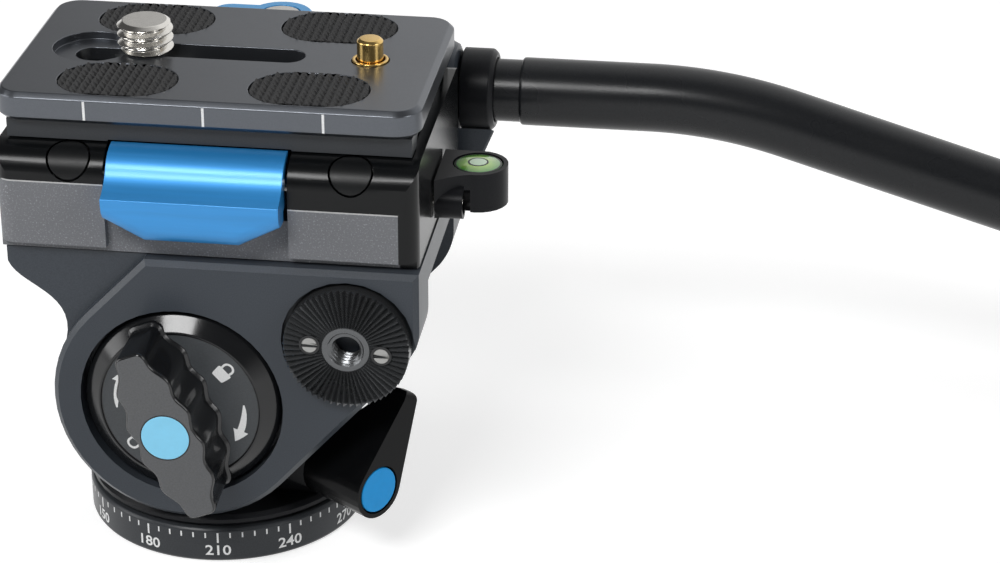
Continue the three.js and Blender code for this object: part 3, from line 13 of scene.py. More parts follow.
import bmesh
import bpy
import numpy as np
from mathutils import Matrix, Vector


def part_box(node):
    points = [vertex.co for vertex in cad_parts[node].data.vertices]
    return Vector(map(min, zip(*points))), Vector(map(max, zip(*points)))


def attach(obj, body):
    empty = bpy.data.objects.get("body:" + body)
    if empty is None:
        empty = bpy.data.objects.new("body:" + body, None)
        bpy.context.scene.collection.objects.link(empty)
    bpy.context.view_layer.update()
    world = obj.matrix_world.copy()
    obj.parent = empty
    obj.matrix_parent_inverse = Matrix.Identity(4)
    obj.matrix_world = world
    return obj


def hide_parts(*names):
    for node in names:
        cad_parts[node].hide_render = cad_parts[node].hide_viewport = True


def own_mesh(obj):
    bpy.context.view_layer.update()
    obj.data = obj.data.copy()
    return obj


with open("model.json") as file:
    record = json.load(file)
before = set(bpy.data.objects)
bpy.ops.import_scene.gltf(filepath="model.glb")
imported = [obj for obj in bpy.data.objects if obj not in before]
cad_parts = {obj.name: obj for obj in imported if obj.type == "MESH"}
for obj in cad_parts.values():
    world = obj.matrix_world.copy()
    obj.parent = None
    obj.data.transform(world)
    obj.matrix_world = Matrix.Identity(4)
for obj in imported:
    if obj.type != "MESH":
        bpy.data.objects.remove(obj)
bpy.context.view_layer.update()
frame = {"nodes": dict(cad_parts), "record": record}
MM = 0.001
TURN = 2 * math.pi

# %% [markdown]
# ## Places read from the frame
# A new piece has to sit where the CAD solid sits. Its place could be typed in, but then it would drift
# when the solid changes. So the boxes of the nodes give the centres and faces, in millimetres.

# %% Read centres and faces


def node_box(node):
    """Lowest and highest corner of a node in millimetres."""
    low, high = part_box(node)
    return np.array(low) / MM, np.array(high) / MM


def middle(node):
    """The centre of a node's box in millimetres."""
    low, high = node_box(node)
    return (low + high) / 2


body_of = {n: b for b, nodes in frame["record"]["behaviour"]["bodies"].items() for n in nodes}
tilt_centre = middle("tilt_axle")
rosette_centre = middle("rosette_front")
plate_low, plate_high = node_box("quick_release_plate")
print("tilt axis x z", tilt_centre[[0, 2]].round(2), "rosette x z", rosette_centre[[0, 2]].round(2))

# %% [markdown]
# ## Mesh tools
# Most parts of a video head are turned on a lathe, milled from bar or cast. Three ways of making a mesh
# cover them: a grid of points computed by a formula, a profile turned round an axis, and a softened copy
# of the CAD solid. Modelling by hand would work too, but a formula keeps to the sizes and can be
# changed in one place.

# %% Grid to mesh


def grid_faces(rows, columns, along):
    """Every cell of the grid is one four-sided face. The last column joins the first, and with along the
    last row joins the first too."""
    index = np.arange(rows * columns).reshape(rows, columns)
    index = np.concatenate([index, index[:, :1]], axis=1)
    if along:
        index = np.concatenate([index, index[:1]], axis=0)
    corners = [index[:-1, :-1], index[:-1, 1:], index[1:, 1:], index[1:, :-1]]
    return np.stack(corners, axis=-1).reshape(-1, 4)


def smooth(mesh, sharp=38.0):
    """Smooth shading, with only the edges sharper than an angle in degrees left sharp."""
    mesh.shade_smooth()
    mesh.set_sharp_from_angle(angle=math.radians(sharp))
    return mesh


def tidy_mesh(mesh, weld=1e-7):
    """Welds seams and poles, turns the faces outwards and keeps only real edges sharp."""
    work = bmesh.new()
    work.from_mesh(mesh)
    bmesh.ops.remove_doubles(work, verts=work.verts, dist=weld)
    bmesh.ops.dissolve_degenerate(work, edges=work.edges, dist=weld)
    bmesh.ops.recalc_face_normals(work, faces=work.faces)
    work.to_mesh(mesh)
    work.free()
    return smooth(mesh)


def grid_mesh(name, points, along=False):
    """A mesh from a grid: points[row, column] are places in millimetres."""
    rows, columns, _ = points.shape
    mesh = bpy.data.meshes.new(name)
    faces = grid_faces(rows, columns, along)
    mesh.from_pydata((points.reshape(-1, 3) * MM).tolist(), [], faces.tolist())
    return tidy_mesh(mesh)


def joined(name, *meshes):
    """Several meshes as one, each left as its own closed shell."""
    work = bmesh.new()
    for mesh in meshes:
        work.from_mesh(mesh)
    whole = bpy.data.meshes.new(name)
    work.to_mesh(whole)
    work.free()
    return smooth(whole)


# %% Profiles and turning


def eased(corners, radius, steps=4, closed=True):
    """Rounds each corner of an outline. Between a point before the corner and one after it runs the curve
    (1-t)^2 A + 2t(1-t) C + t^2 B, with C the corner and A and B at the given radius from it."""
    corner = np.asarray(corners, float)
    radius = np.broadcast_to(np.asarray(radius, float), len(corner))[:, None]
    before = np.roll(corner, 1, axis=0) - corner
    after = np.roll(corner, -1, axis=0) - corner
    reach_before = np.linalg.norm(before, axis=1, keepdims=True)
    reach_after = np.linalg.norm(after, axis=1, keepdims=True)
    start = corner + before / reach_before * np.minimum(radius, reach_before * 0.45)
    end = corner + after / reach_after * np.minimum(radius, reach_after * 0.45)
    t = np.linspace(0, 1, steps + 1)[None, :, None]
    curve = (1 - t) ** 2 * start[:, None] + 2 * t * (1 - t) * corner[:, None] + t**2 * end[:, None]
    if not closed:
        curve[0] = corner[0]
        curve[-1] = corner[-1]
    return curve.reshape(-1, 2)


def round_z(radius, angle, height):
    """Places at a radius and an angle round the Z axis, at a height."""
    x, y = radius * np.cos(angle), radius * np.sin(angle)
    return np.stack([x, y, np.broadcast_to(height, x.shape)], axis=-1)


def turned(profile, steps=96):
    """Each point (radius, height) of the profile goes round the Z axis in equal steps."""
    profile = np.asarray(profile, float)
    angle = np.linspace(0, TURN, steps, endpoint=False)
    return round_z(profile[:, 0:1], angle, profile[:, 1:2])


def facing_front(points, centre):
    """Lays a shape drawn with its height along Z so that the height points to -Y from the centre's axis."""
    x, y, z = points[..., 0], points[..., 1], points[..., 2]
    return np.stack([centre[0] + x, -z, centre[2] + y], axis=-1)


def upright(points, centre):
    """Moves a shape turned about Z onto a centre's own axis."""
    return points + np.array([centre[0], centre[1], 0])


# %% Put a piece on its body


def linked(name, data):
    """A new object in the scene."""
    thing = bpy.data.objects.new(name, data)
    bpy.context.scene.collection.objects.link(thing)
    return thing


def coated(mesh, material):
    """Gives the whole mesh one material."""
    mesh.materials.clear()
    mesh.materials.append(material)
    return mesh


def even_shading(piece, keep_sharp=True):
    """Weighs flat faces more in the shading."""
    weigh = piece.modifiers.new("even_shading", "WEIGHTED_NORMAL")
    weigh.keep_sharp = keep_sharp
    weigh.weight = 80


def place(name, mesh, body, slot, material, *nodes, even=True):
    """Makes the object, lets it ride on its body and stand for its nodes."""
    piece = linked(name, coated(mesh, material))
    if even:
        even_shading(piece)
    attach(piece, body)
    if nodes:
        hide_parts(*nodes)
    print(f"{name}: {len(mesh.polygons)} faces on {body}")
    return piece


def place_grid(name, points, body, slot, material, *nodes, along=False, even=True):
    """Makes a grid of points a mesh and places it."""
    mesh = grid_mesh(name, points, along=along)
    return place(name, mesh, body, slot, material, *nodes, even=even)


def softened(node, material, width=0.25, steps=2, angle=28.0):
    """A welded copy of a CAD solid. Flat faces become one face each, and a Bevel rounds the edges."""
    mesh = frame["nodes"][node].data.copy()
    work = bmesh.new()
    work.from_mesh(mesh)
    bmesh.ops.remove_doubles(work, verts=work.verts, dist=2e-6)
    bmesh.ops.dissolve_limit(
        work, angle_limit=math.radians(0.5), verts=work.verts, edges=work.edges, delimit=set()
    )
    work.to_mesh(mesh)
    work.free()
    mesh.name = node + "_finished"
    piece = linked(mesh.name, coated(smooth(mesh, angle), material))
    if width > 0:
        bevel = piece.modifiers.new("rounded_edges", "BEVEL")
        bevel.width = width * MM
        bevel.segments = steps
        bevel.limit_method = "ANGLE"
        bevel.angle_limit = math.radians(angle)
        bevel.use_clamp_overlap = True
        bevel.harden_normals = False
    even_shading(piece, width <= 0)
    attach(piece, body_of[node])
    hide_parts(node)
    return piece


# %% [markdown]
# ## Effects that several finishes share
# Real coatings are never one flat colour. A powder coat is grainy, sheet metal is brushed in one
# direction, dust settles on faces that look up. Each effect is one node group with its own inputs, so a
# material says how much of it there is. The groups put out shades, masks and heights only. The shader
# stays in the material.

# %% Group helpers


def new_group(name, inputs, outputs):
    """An empty shader group. inputs are (name, default) and outputs names."""
    group = bpy.data.node_groups.new(name, "ShaderNodeTree")
    for label, value in inputs:
        socket = group.interface.new_socket(name=label, in_out="INPUT", socket_type="NodeSocketFloat")
        socket.default_value = value
    for label in outputs:
        group.interface.new_socket(name=label, in_out="OUTPUT", socket_type="NodeSocketFloat")
    return group, group.nodes.new("NodeGroupInput"), group.nodes.new("NodeGroupOutput")


def calc(tree, operation, first, second=0.0, third=0.0, clamp=False):
    """One Math node. An argument is a number or a socket."""
    node = tree.nodes.new("ShaderNodeMath")
    node.operation = operation
    node.use_clamp = clamp
    for socket, value in zip(node.inputs, (first, second, third)):
        if isinstance(value, (int, float)):
            socket.default_value = value
        else:
            tree.links.new(value, socket)
    return node.outputs[0]


def axis_parts(tree, kind, output):
    """X, Y and Z of the place or direction that an input node gives."""
    source = tree.nodes.new(kind)
    split = tree.nodes.new("ShaderNodeSeparateXYZ")
    tree.links.new(source.outputs[output], split.inputs["Vector"])
    return split.outputs


def stretched_noise(tree, stretch, scale, detail=3.0, roughness=0.6):
    """Noise on the object's own place, stretched by a factor along each axis."""
    place_node = tree.nodes.new("ShaderNodeTexCoord")
    mapping = tree.nodes.new("ShaderNodeMapping")
    mapping.inputs["Scale"].default_value = stretch
    noise = tree.nodes.new("ShaderNodeTexNoise")
    noise.inputs["Detail"].default_value = detail
    noise.inputs["Roughness"].default_value = roughness
    tree.links.new(place_node.outputs["Object"], mapping.inputs["Vector"])
    tree.links.new(mapping.outputs["Vector"], noise.inputs["Vector"])
    if isinstance(scale, (int, float)):
        noise.inputs["Scale"].default_value = scale
    else:
        tree.links.new(scale, noise.inputs["Scale"])
    return noise.outputs["Fac"]


# %% Grain, speckle, brushing and dust


def build_grain():
    """Height and shade of a sprayed coating: fine noise, with slow patches that are far larger."""
    group, start, end = new_group("coating_grain", [("Scale", 4000.0)], ["Height", "Shade", "Patches"])
    fine = stretched_noise(group, (1, 1, 1), start.outputs["Scale"], 2.0, 0.5)
    shade = stretched_noise(group, (1, 1, 1.05), start.outputs["Scale"], 1.0, 0.5)
    slow = stretched_noise(group, (1, 1, 1), 60.0, 3.0, 0.5)
    group.links.new(fine, end.inputs["Height"])
    group.links.new(shade, end.inputs["Shade"])
    group.links.new(slow, end.inputs["Patches"])
    return group


def build_speckle():
    """Bright flecks in a matt skin: only the peaks of a fine noise come through."""
    group, start, end = new_group("skin_speckle", [("Scale", 3500.0), ("Peak", 0.56)], ["Flecks", "Height"])
    fine = stretched_noise(group, (1, 1, 1), start.outputs["Scale"], 4.0, 0.7)
    above = calc(group, "SUBTRACT", fine, start.outputs["Peak"])
    flecks = calc(group, "MULTIPLY", above, 7.0, clamp=True)
    group.links.new(flecks, end.inputs["Flecks"])
    group.links.new(fine, end.inputs["Height"])
    return group


def build_brushing():
    """Lines left by a brush along X: noise that is stretched fifty times along X."""
    group, start, end = new_group("brushing", [("Scale", 3000.0)], ["Height", "Shade"])
    lines = stretched_noise(group, (0.02, 1, 1), start.outputs["Scale"], 4.0, 0.7)
    broad = stretched_noise(group, (0.05, 1, 1), 500.0, 3.0, 0.6)
    group.links.new(lines, end.inputs["Height"])
    group.links.new(broad, end.inputs["Shade"])
    return group


def build_dust():
    """Dust lies where a face looks up, in patches. The mask is the normal's Z times a slow noise."""
    group, start, end = new_group("settled_dust", [("Amount", 0.1)], ["Mask"])
    facing = axis_parts(group, "ShaderNodeNewGeometry", "Normal")
    upward = calc(group, "POWER", calc(group, "MAXIMUM", facing["Z"], 0.0), 3.0)
    patches = stretched_noise(group, (1, 1, 1), 900.0, 5.0, 0.7)
    mask = calc(group, "MULTIPLY", calc(group, "MULTIPLY", upward, patches), start.outputs["Amount"])
    group.links.new(mask, end.inputs["Mask"])
    return group


grain_group = build_grain()
speckle_group = build_speckle()
brush_group = build_brushing()
dust_group = build_dust()
print("effect groups:", [g.name for g in bpy.data.node_groups])

# %% Material helpers


def new_material(name, roughness, metallic=0.0, coat=0.0, coat_roughness=0.1, ior=1.5):
    """A Principled material whose constants are set on its own sockets."""
    material = bpy.data.materials.new(name)
    material.use_nodes = True
    shader = material.node_tree.nodes["Principled BSDF"]
    shader.inputs["Roughness"].default_value = roughness
    shader.inputs["Metallic"].default_value = metallic
    shader.inputs["Coat Weight"].default_value = coat
    shader.inputs["Coat Roughness"].default_value = coat_roughness
    shader.inputs["IOR"].default_value = ior
    return material, material.node_tree, shader


def effect(tree, group, **values):
    """One of the shared groups, with this material's own values."""
    node = tree.nodes.new("ShaderNodeGroup")
    node.node_tree = group
    for name, value in values.items():
        node.inputs[name].default_value = value
    return node.outputs


def mix_colour(tree, share, low, high):
    """Low where the share is 0, high where it is 1. low and high are colours or sockets."""
    mix = tree.nodes.new("ShaderNodeMix")
    mix.data_type = "RGBA"
    mix.clamp_factor = True
    tree.links.new(share, mix.inputs["Factor"])
    for socket, value in ((mix.inputs["A"], low), (mix.inputs["B"], high)):
        if isinstance(value, tuple):
            socket.default_value = (*value, 1.0)
        else:
            tree.links.new(value, socket)
    return mix.outputs["Result"]


def toned(tree, share, colour, low, high):
    """One colour between low and high times its own strength."""
    darker = tuple(c * low for c in colour)
    lighter = tuple(min(1.0, c * high) for c in colour)
    return mix_colour(tree, share, darker, lighter)


def spread(tree, value, centre, reach):
    """Turns a 0 to 1 noise into centre minus reach to centre plus reach."""
    return calc(tree, "MULTIPLY_ADD", value, 2 * reach, centre - reach)


def bump(tree, shader, height, strength, distance):
    """Adds a small relief of the given distance in millimetres."""
    node = tree.nodes.new("ShaderNodeBump")
    node.inputs["Strength"].default_value = strength
    node.inputs["Distance"].default_value = distance * MM
    tree.links.new(height, node.inputs["Height"])
    tree.links.new(node.outputs["Normal"], shader.inputs["Normal"])


# %% [markdown]
# ## Coated castings
# The fork and the dial are die castings with a thin satin coat. Cast metal under paint isn't mirror
# flat, so the coat gets a fine grain and slow patches. A cast part could also be given a picture of
# paint, but noise on the object's own place has no seams and holds at any distance.

# %% Satin and matt coats


def satin_coat(name, colour, roughness, grain=0.02, scale=4500.0, dust=0.03, ior=1.36):
    """A sprayed satin coat: fine grain in height and shade, slow patches in gloss, a little dust on top."""
    material, tree, shader = new_material(name, roughness, ior=ior)
    marks = effect(tree, grain_group, Scale=scale)
    lighter = tuple(min(1.0, c * 1.35 + 0.004) for c in colour)
    darker = tuple(c * 0.8 for c in colour)
    painted = mix_colour(tree, spread(tree, marks["Shade"], 0.5, 0.5), darker, lighter)
    settled = effect(tree, dust_group, Amount=dust)
    dusty = mix_colour(tree, settled["Mask"], painted, (0.45, 0.45, 0.46))
    tree.links.new(dusty, shader.inputs["Base Color"])
    tree.links.new(spread(tree, marks["Patches"], roughness, 0.08), shader.inputs["Roughness"])
    bump(tree, shader, marks["Height"], 0.35, grain)
    return material


casting = satin_coat("casting_satin", (0.036, 0.043, 0.053), 0.33)
dial_black = satin_coat("dial_satin", (0.024, 0.027, 0.031), 0.34)
housing_black = satin_coat("housing_satin", (0.005, 0.0055, 0.007), 0.36, ior=1.24)
bar_black = satin_coat("bar_satin", (0.007, 0.0078, 0.0092), 0.28, 0.03, 3000.0)
internal_grey = satin_coat("hidden_metal", (0.12, 0.12, 0.13), 0.45)

# %% [markdown]
# ## The platform's two skins
# The clamp platform shows two finishes on one casting. Its blocks are matt and full of bright flecks,
# and the rounded shoulder above them is glossy black. Where a cutter has broken the edge between them,
# the small chamfer catches the light; that highlight is painted in as a thin light grey line. One
# material holds all three, and the height above the base says which one shows.

# %% Platform material


BEHIND_LEVER = 2.0


def platform_coat(line_height, line_drop, highlight_width, matt_end):
    """Matt flecked skin below the line, gloss above it, and on it a painted highlight: a light grey band for
    the light caught on the chamfer. The masks are ramps over the height. The line drops behind the lever, and
    past matt_end on X all is gloss."""
    material, tree, shader = new_material("platform_skins", 0.4, ior=1.3)
    where = axis_parts(tree, "ShaderNodeTexCoord", "Object")
    right_block = calc(tree, "GREATER_THAN", where["X"], BEHIND_LEVER * MM)
    line_place = calc(tree, "MULTIPLY_ADD", right_block, -line_drop * MM, line_height * MM)
    above = calc(tree, "SUBTRACT", where["Z"], line_place)
    over = calc(tree, "MULTIPLY", above, 1 / (0.05 * MM), clamp=True)
    beyond = calc(tree, "GREATER_THAN", where["X"], matt_end * MM)
    upper = calc(tree, "MAXIMUM", over, beyond)
    facing = axis_parts(tree, "ShaderNodeNewGeometry", "Normal")
    end_face = calc(tree, "GREATER_THAN", calc(tree, "ABSOLUTE", facing["X"]), 0.6)
    highlight_band = calc(tree, "COMPARE", above, 0.0, highlight_width * MM)
    hidden = calc(tree, "MAXIMUM", end_face, beyond)
    line = calc(tree, "MULTIPLY", highlight_band, calc(tree, "SUBTRACT", 1.0, hidden))
    flecks = effect(tree, speckle_group, Scale=3200.0, Peak=0.55)
    matt = mix_colour(tree, flecks["Flecks"], (0.165, 0.170, 0.182), (0.36, 0.37, 0.39))
    body = mix_colour(tree, upper, matt, (0.004, 0.0045, 0.005))
    # Painted highlight: the light grey band stands for light caught on the small chamfer.
    with_painted_highlight = mix_colour(tree, line, body, (0.5, 0.5, 0.5))
    tree.links.new(with_painted_highlight, shader.inputs["Base Color"])
    tree.links.new(spread(tree, calc(tree, "SUBTRACT", 1.0, upper), 0.38, 0.16), shader.inputs["Roughness"])
    matt_height = calc(tree, "MULTIPLY", flecks["Height"], calc(tree, "SUBTRACT", 1.0, upper))
    bump(tree, shader, matt_height, 0.5, 0.05)
    return material


SHOULDER_LINE = 71.4
LINE_DROP = 2.6
PAINTED_HIGHLIGHT_WIDTH = 0.12
MATT_END = 36.0
platform_skins = platform_coat(SHOULDER_LINE, LINE_DROP, PAINTED_HIGHLIGHT_WIDTH, MATT_END)

# %% [markdown]
# ## Anodised aluminium
# Anodising leaves the metal's own sheen under a thin dyed layer. The plate is bead blasted first, so its
# sheen is even. The blue levers are brushed along their length, which pulls every highlight into a band
# across the lines.

# %% Anodised materials


def blasted_anodise(name, colour, roughness, metallic=0.85):
    """Bead-blasted and dyed metal: tiny dents in the height, patches in the gloss."""
    material, tree, shader = new_material(name, roughness, metallic)
    marks = effect(tree, grain_group, Scale=6000.0)
    tone = toned(tree, marks["Shade"], colour, 0.88, 1.12)
    settled = effect(tree, dust_group, Amount=0.05)
    tree.links.new(mix_colour(tree, settled["Mask"], tone, (0.5, 0.5, 0.5)), shader.inputs["Base Color"])
    tree.links.new(spread(tree, marks["Patches"], roughness, 0.05), shader.inputs["Roughness"])
    bump(tree, shader, marks["Height"], 0.3, 0.012)
    return material


def brushed_anodise(name, colour, roughness):
    """Brushed and dyed metal: long lines along X in height, tone and gloss."""
    material, tree, shader = new_material(name, roughness, 0.45, 0.4, 0.22)
    lines = effect(tree, brush_group, Scale=2600.0)
    tone = toned(tree, lines["Shade"], colour, 0.8, 1.2)
    tree.links.new(tone, shader.inputs["Base Color"])
    tree.links.new(spread(tree, lines["Height"], roughness, 0.09), shader.inputs["Roughness"])
    bump(tree, shader, lines["Height"], 0.35, 0.02)
    return material


plate_grey = blasted_anodise("plate_anodised", (0.108, 0.116, 0.130), 0.30)
blue_metal = brushed_anodise("blue_brushed", (0.028, 0.26, 0.62), 0.42)
# A paler copy of the blue anodise is painted sheen: it stands for blue top faces that catch the soft box.
blue_metal_painted_sheen = brushed_anodise("blue_painted_sheen", (0.06, 0.36, 0.74), 0.38)

# %% [markdown]
# ## Gloss mouldings, caps, rubber and bright metal
# Grips are glossy black plastic, the round caps are dyed plastic, the pads are moulded rubber. Screws
# are nickel plated and turned, so fine rings run round them. Glossy plastic is smooth enough that a slow
# waviness is what the eye sees, not grain.

# %% Plastics and rubber


def moulding(name, colour, roughness, wave=0.01, scale=150.0, ior=1.45):
    """Injection-moulded plastic: slow waves in the height and faint changes of gloss from handling."""
    material, tree, shader = new_material(name, roughness, ior=ior)
    wide = stretched_noise(tree, (1, 1, 1), scale, 2.0, 0.4)
    smears = stretched_noise(tree, (1, 1, 1), 420.0, 4.0, 0.65)
    tone = toned(tree, smears, colour, 0.92, 1.08)
    tree.links.new(tone, shader.inputs["Base Color"])
    tree.links.new(spread(tree, smears, roughness, 0.05), shader.inputs["Roughness"])
    bump(tree, shader, wide, 0.2, wave)
    return material


def faced_moulding(name, face_y):
    """A gloss moulding whose outer face, past a place on Y in millimetres, is etched to a satin grey."""
    material, tree, shader = new_material(name, 0.16)
    where = axis_parts(tree, "ShaderNodeTexCoord", "Object")
    face = calc(tree, "LESS_THAN", where["Y"], face_y * MM)
    marks = effect(tree, grain_group, Scale=3600.0)
    etched = mix_colour(tree, marks["Shade"], (0.060, 0.062, 0.066), (0.105, 0.108, 0.113))
    tree.links.new(mix_colour(tree, face, (0.010, 0.0105, 0.0115), etched), shader.inputs["Base Color"])
    tree.links.new(calc(tree, "MULTIPLY_ADD", face, 0.24, 0.16), shader.inputs["Roughness"])
    bump(tree, shader, calc(tree, "MULTIPLY", marks["Height"], face), 0.35, 0.02)
    return material


def rubber_skin(name, colour, roughness=0.72):
    """Moulded rubber: a matt, slightly dusty skin with a fine grain."""
    material, tree, shader = new_material(name, roughness, ior=1.45)
    marks = effect(tree, grain_group, Scale=5200.0)
    settled = effect(tree, dust_group, Amount=0.25)
    tone = toned(tree, marks["Shade"], colour, 0.75, 1.3)
    tree.links.new(mix_colour(tree, settled["Mask"], tone, (0.3, 0.3, 0.3)), shader.inputs["Base Color"])
    tree.links.new(spread(tree, marks["Patches"], roughness, 0.08), shader.inputs["Roughness"])
    bump(tree, shader, marks["Height"], 0.5, 0.03)
    return material


gloss_black = moulding("gloss_black", (0.008, 0.0085, 0.0095), 0.15)
lever_black = moulding("lever_black", (0.003, 0.0032, 0.0036), 0.24, ior=1.2)
shoulder_black = moulding("shoulder_black", (0.006, 0.0065, 0.007), 0.36, ior=1.3)
knob_face = satin_coat("knob_face_satin", (0.055, 0.060, 0.065), 0.34)
sky_cap = moulding("sky_cap", (0.25, 0.66, 0.92), 0.42)
deep_cap = moulding("blue_cap", (0.010, 0.32, 0.76), 0.36, ior=1.3)
pad_black = rubber_skin("pad_rubber", (0.022, 0.022, 0.023))
grip_black = rubber_skin("grip_rubber", (0.018, 0.018, 0.019), 0.65)
bearing_white = moulding("bearing_plastic", (0.7, 0.68, 0.6), 0.5)

# %% Bright metals and glass


def turned_metal(name, colour, roughness):
    """Plated and turned metal: faint rings by height and a few darker spots."""
    material, tree, shader = new_material(name, roughness, 1.0)
    rings = stretched_noise(tree, (0.05, 0.05, 1), 5200.0, 3.0, 0.6)
    spots = stretched_noise(tree, (1, 1, 1), 700.0, 5.0, 0.7)
    tone = toned(tree, spots, colour, 0.82, 1.08)
    tree.links.new(tone, shader.inputs["Base Color"])
    tree.links.new(spread(tree, rings, roughness, 0.07), shader.inputs["Roughness"])
    bump(tree, shader, rings, 0.25, 0.012)
    return material


bright_steel = turned_metal("bright_nickel", (0.74, 0.72, 0.68), 0.2)
dull_steel = turned_metal("dull_nickel", (0.34, 0.34, 0.33), 0.3)
pin_brass = turned_metal("turned_brass", (0.83, 0.56, 0.20), 0.22)
white_ink, ink_tree, ink_shader = new_material("white_print", 0.5)
ink_grain = effect(ink_tree, grain_group, Scale=5000.0)
ink_tone = mix_colour(ink_tree, ink_grain["Shade"], (0.70, 0.71, 0.71), (0.92, 0.92, 0.92))
ink_tree.links.new(ink_tone, ink_shader.inputs["Base Color"])
print("materials:", len(bpy.data.materials))

# %% [markdown]
# ## The castings as softened copies
# The fork, the housing and the platform already have their true form. Only their edges are too sharp: a
# real casting has a radius everywhere. A welded copy takes a Bevel, which rounds every edge by the same
# width.

# %% Softened solids
SOFT_PIECES = [
    ("tilt_casting", casting, 0.45, 3),
    ("pan_housing", housing_black, 0.35, 2),
    ("clamp_platform", platform_skins, 0.4, 2),
    ("base_plate", internal_grey, 0.2, 1),
    ("clamp_jaw", dial_black, 0.3, 2),
    ("rear_cover", gloss_black, 0.25, 2),
    ("shoulder_plug_left", shoulder_black, 0.12, 1),
    ("shoulder_plug_right", shoulder_black, 0.12, 1),
    ("clamp_lever", blue_metal, 0.25, 2),
    ("safety_button", blue_metal_painted_sheen, 0.3, 3),
    ("rear_stop_lever", blue_metal_painted_sheen, 0.25, 2),
    ("rear_lever_screw", bright_steel, 0.15, 2),
    ("level_holder", housing_black, 0.3, 2),
    ("level_holder_screw", bright_steel, 0.1, 1),
    ("quick_release_plate", plate_grey, 0.15, 2),
    ("pan_lock_lever", lever_black, 0.9, 4),
    ("pan_lock_cap", deep_cap, 0.2, 2),
    ("bar_holder", casting, 0.35, 2),
    ("bar_collar", housing_black, 0.25, 2),
    ("bar_end_cap", gloss_black, 0.6, 3),
    ("bar_lock_knob", gloss_black, 0.5, 3),
]
for node, material, width, steps in SOFT_PIECES:
    softened(node, material, width, steps)
print("softened solids:", len(SOFT_PIECES))

# %% Materials of the solids that stay as they are
PLAIN_PIECES = {
    "tripod_bush": bright_steel, "pan_thrust_washer": bearing_white, "pan_bearing": bright_steel,
    "spindle_clip": bright_steel, "tilt_bearing_front": bright_steel, "tilt_bearing_rear": bright_steel,
    "damper_cup": internal_grey, "counterbalance_spring": bright_steel, "pan_brake_shoe": pin_brass,
    "tilt_axle": bright_steel, "damper_rotor": pin_brass, "tilt_brake_disc": bearing_white,
    "tilt_lock_nut": pin_brass, "lever_pin": bright_steel, "camera_screw_washer": bearing_white,
    "pan_lock_stud": bright_steel, "bar_lock_screw": bright_steel,
    "rosette_rear": casting,
}
for node, material in PLAIN_PIECES.items():
    coated(frame["nodes"][node].data, material)
print("solids with a new finish:", len(PLAIN_PIECES))

# %% [markdown]
# ## The degree dial
# The base ring is turned, and its scale is printed in white: a short tick each 5 degrees, a long one
# each 30, and a number under each long one. The print could be a picture on the ring. Here it is thin
# solid ink, bent round the ring by a formula, so it stays crisp from close by.

# %% Dial ring
ring_low, ring_high = node_box("base_dial_ring")
ring_radius = ring_high[0]
RING_WALL = 5.0
ring_inner = ring_radius - RING_WALL
ring_profile = eased(
    [
        [ring_inner, ring_low[2]],
        [ring_radius - 0.3, ring_low[2]],
        [ring_radius, ring_low[2] + 0.5],
        [ring_radius, ring_high[2] - 0.5],
        [ring_radius - 0.4, ring_high[2]],
        [ring_inner, ring_high[2]],
    ],
    0.18,
)
ring_points = turned(ring_profile, 144)
place_grid("dial_ring", ring_points, "base", "casting_grey", dial_black, "base_dial_ring", along=True)

# %% Ink on the dial
INK = 0.03
DIAL_NUMBER_AT_FRONT = 210
DIAL_FRONT_ANGLE = -82.47
TICK_TOP = ring_high[2] - 0.75
BOLDNESS = 0.014
NUMBER_WIDTH = 1.12
NUMBER_HEIGHT = 2.75
NUMBER_DROP = 3.55
LONG_TICK = (1.95, 0.34)
SHORT_TICK = (1.0, 0.27)


def bent_round(flat, radius):
    """A flat drawing (along, up, out) in millimetres is bent round Z: along becomes an angle, out a
    radius."""
    angle = flat[..., 0] / radius
    reach = radius + flat[..., 2]
    return np.stack([reach * np.sin(angle), -reach * np.cos(angle), flat[..., 1]], axis=-1)


def turned_by(points, degrees):
    """Turns points about Z."""
    c, s = math.cos(math.radians(degrees)), math.sin(math.radians(degrees))
    x, y = points[..., 0], points[..., 1]
    return np.stack([c * x - s * y, s * x + c * y, points[..., 2]], axis=-1)


def ink_box(width, low, high, base=-0.02):
    """Eight corners of a thin bar of ink as a 2 by 4 grid: across it, then round its thickness."""
    across = np.array([-width / 2, width / 2, width / 2, -width / 2])
    out = np.array([base, base, INK, INK])
    rows = [np.stack([across, np.full(4, height), out], axis=-1) for height in (low, high)]
    return np.stack(rows)


def capped(points):
    """Adds the two end faces of a prism given as rings, by a last row that shrinks to each ring's centre."""
    first = np.broadcast_to(points[0].mean(axis=0), points[0].shape)
    last = np.broadcast_to(points[-1].mean(axis=0), points[-1].shape)
    return np.concatenate([first[None], points, last[None]])


def tick_meshes():
    """One bar of ink for each 5 degrees. Every sixth is longer and a little wider."""
    for step in range(72):
        number = (DIAL_NUMBER_AT_FRONT + 5 * step) % 360
        long_one = number % 30 == 0
        length, width = LONG_TICK if long_one else SHORT_TICK
        bar = capped(ink_box(width, TICK_TOP - length, TICK_TOP))
        turn = DIAL_FRONT_ANGLE + 90 + 5 * step
        yield grid_mesh("tick", turned_by(bent_round(bar, ring_radius), turn))


def text_mesh(words, size):
    """A number as thin closed solids around the origin, in millimetres."""
    curve = bpy.data.curves.new("letters", "FONT")
    curve.body = words
    curve.size = size
    curve.extrude = (INK + 0.02) / 2
    curve.align_x = "CENTER"
    curve.align_y = "CENTER"
    curve.resolution_u = 3
    curve.offset = BOLDNESS * size
    holder = linked("letters", curve)
    bpy.context.view_layer.update()
    mesh = bpy.data.meshes.new_from_object(holder.evaluated_get(bpy.context.evaluated_depsgraph_get()))
    bpy.data.objects.remove(holder)
    return mesh


def reshaped(mesh, formula):
    """Moves every vertex by a formula on the whole array. The numbers lie flat, and become (along, up,
    out)."""
    places = np.empty(len(mesh.vertices) * 3)
    mesh.vertices.foreach_get("co", places)
    mesh.vertices.foreach_set("co", (formula(places.reshape(-1, 3)) * MM).ravel())
    mesh.update()
    return mesh


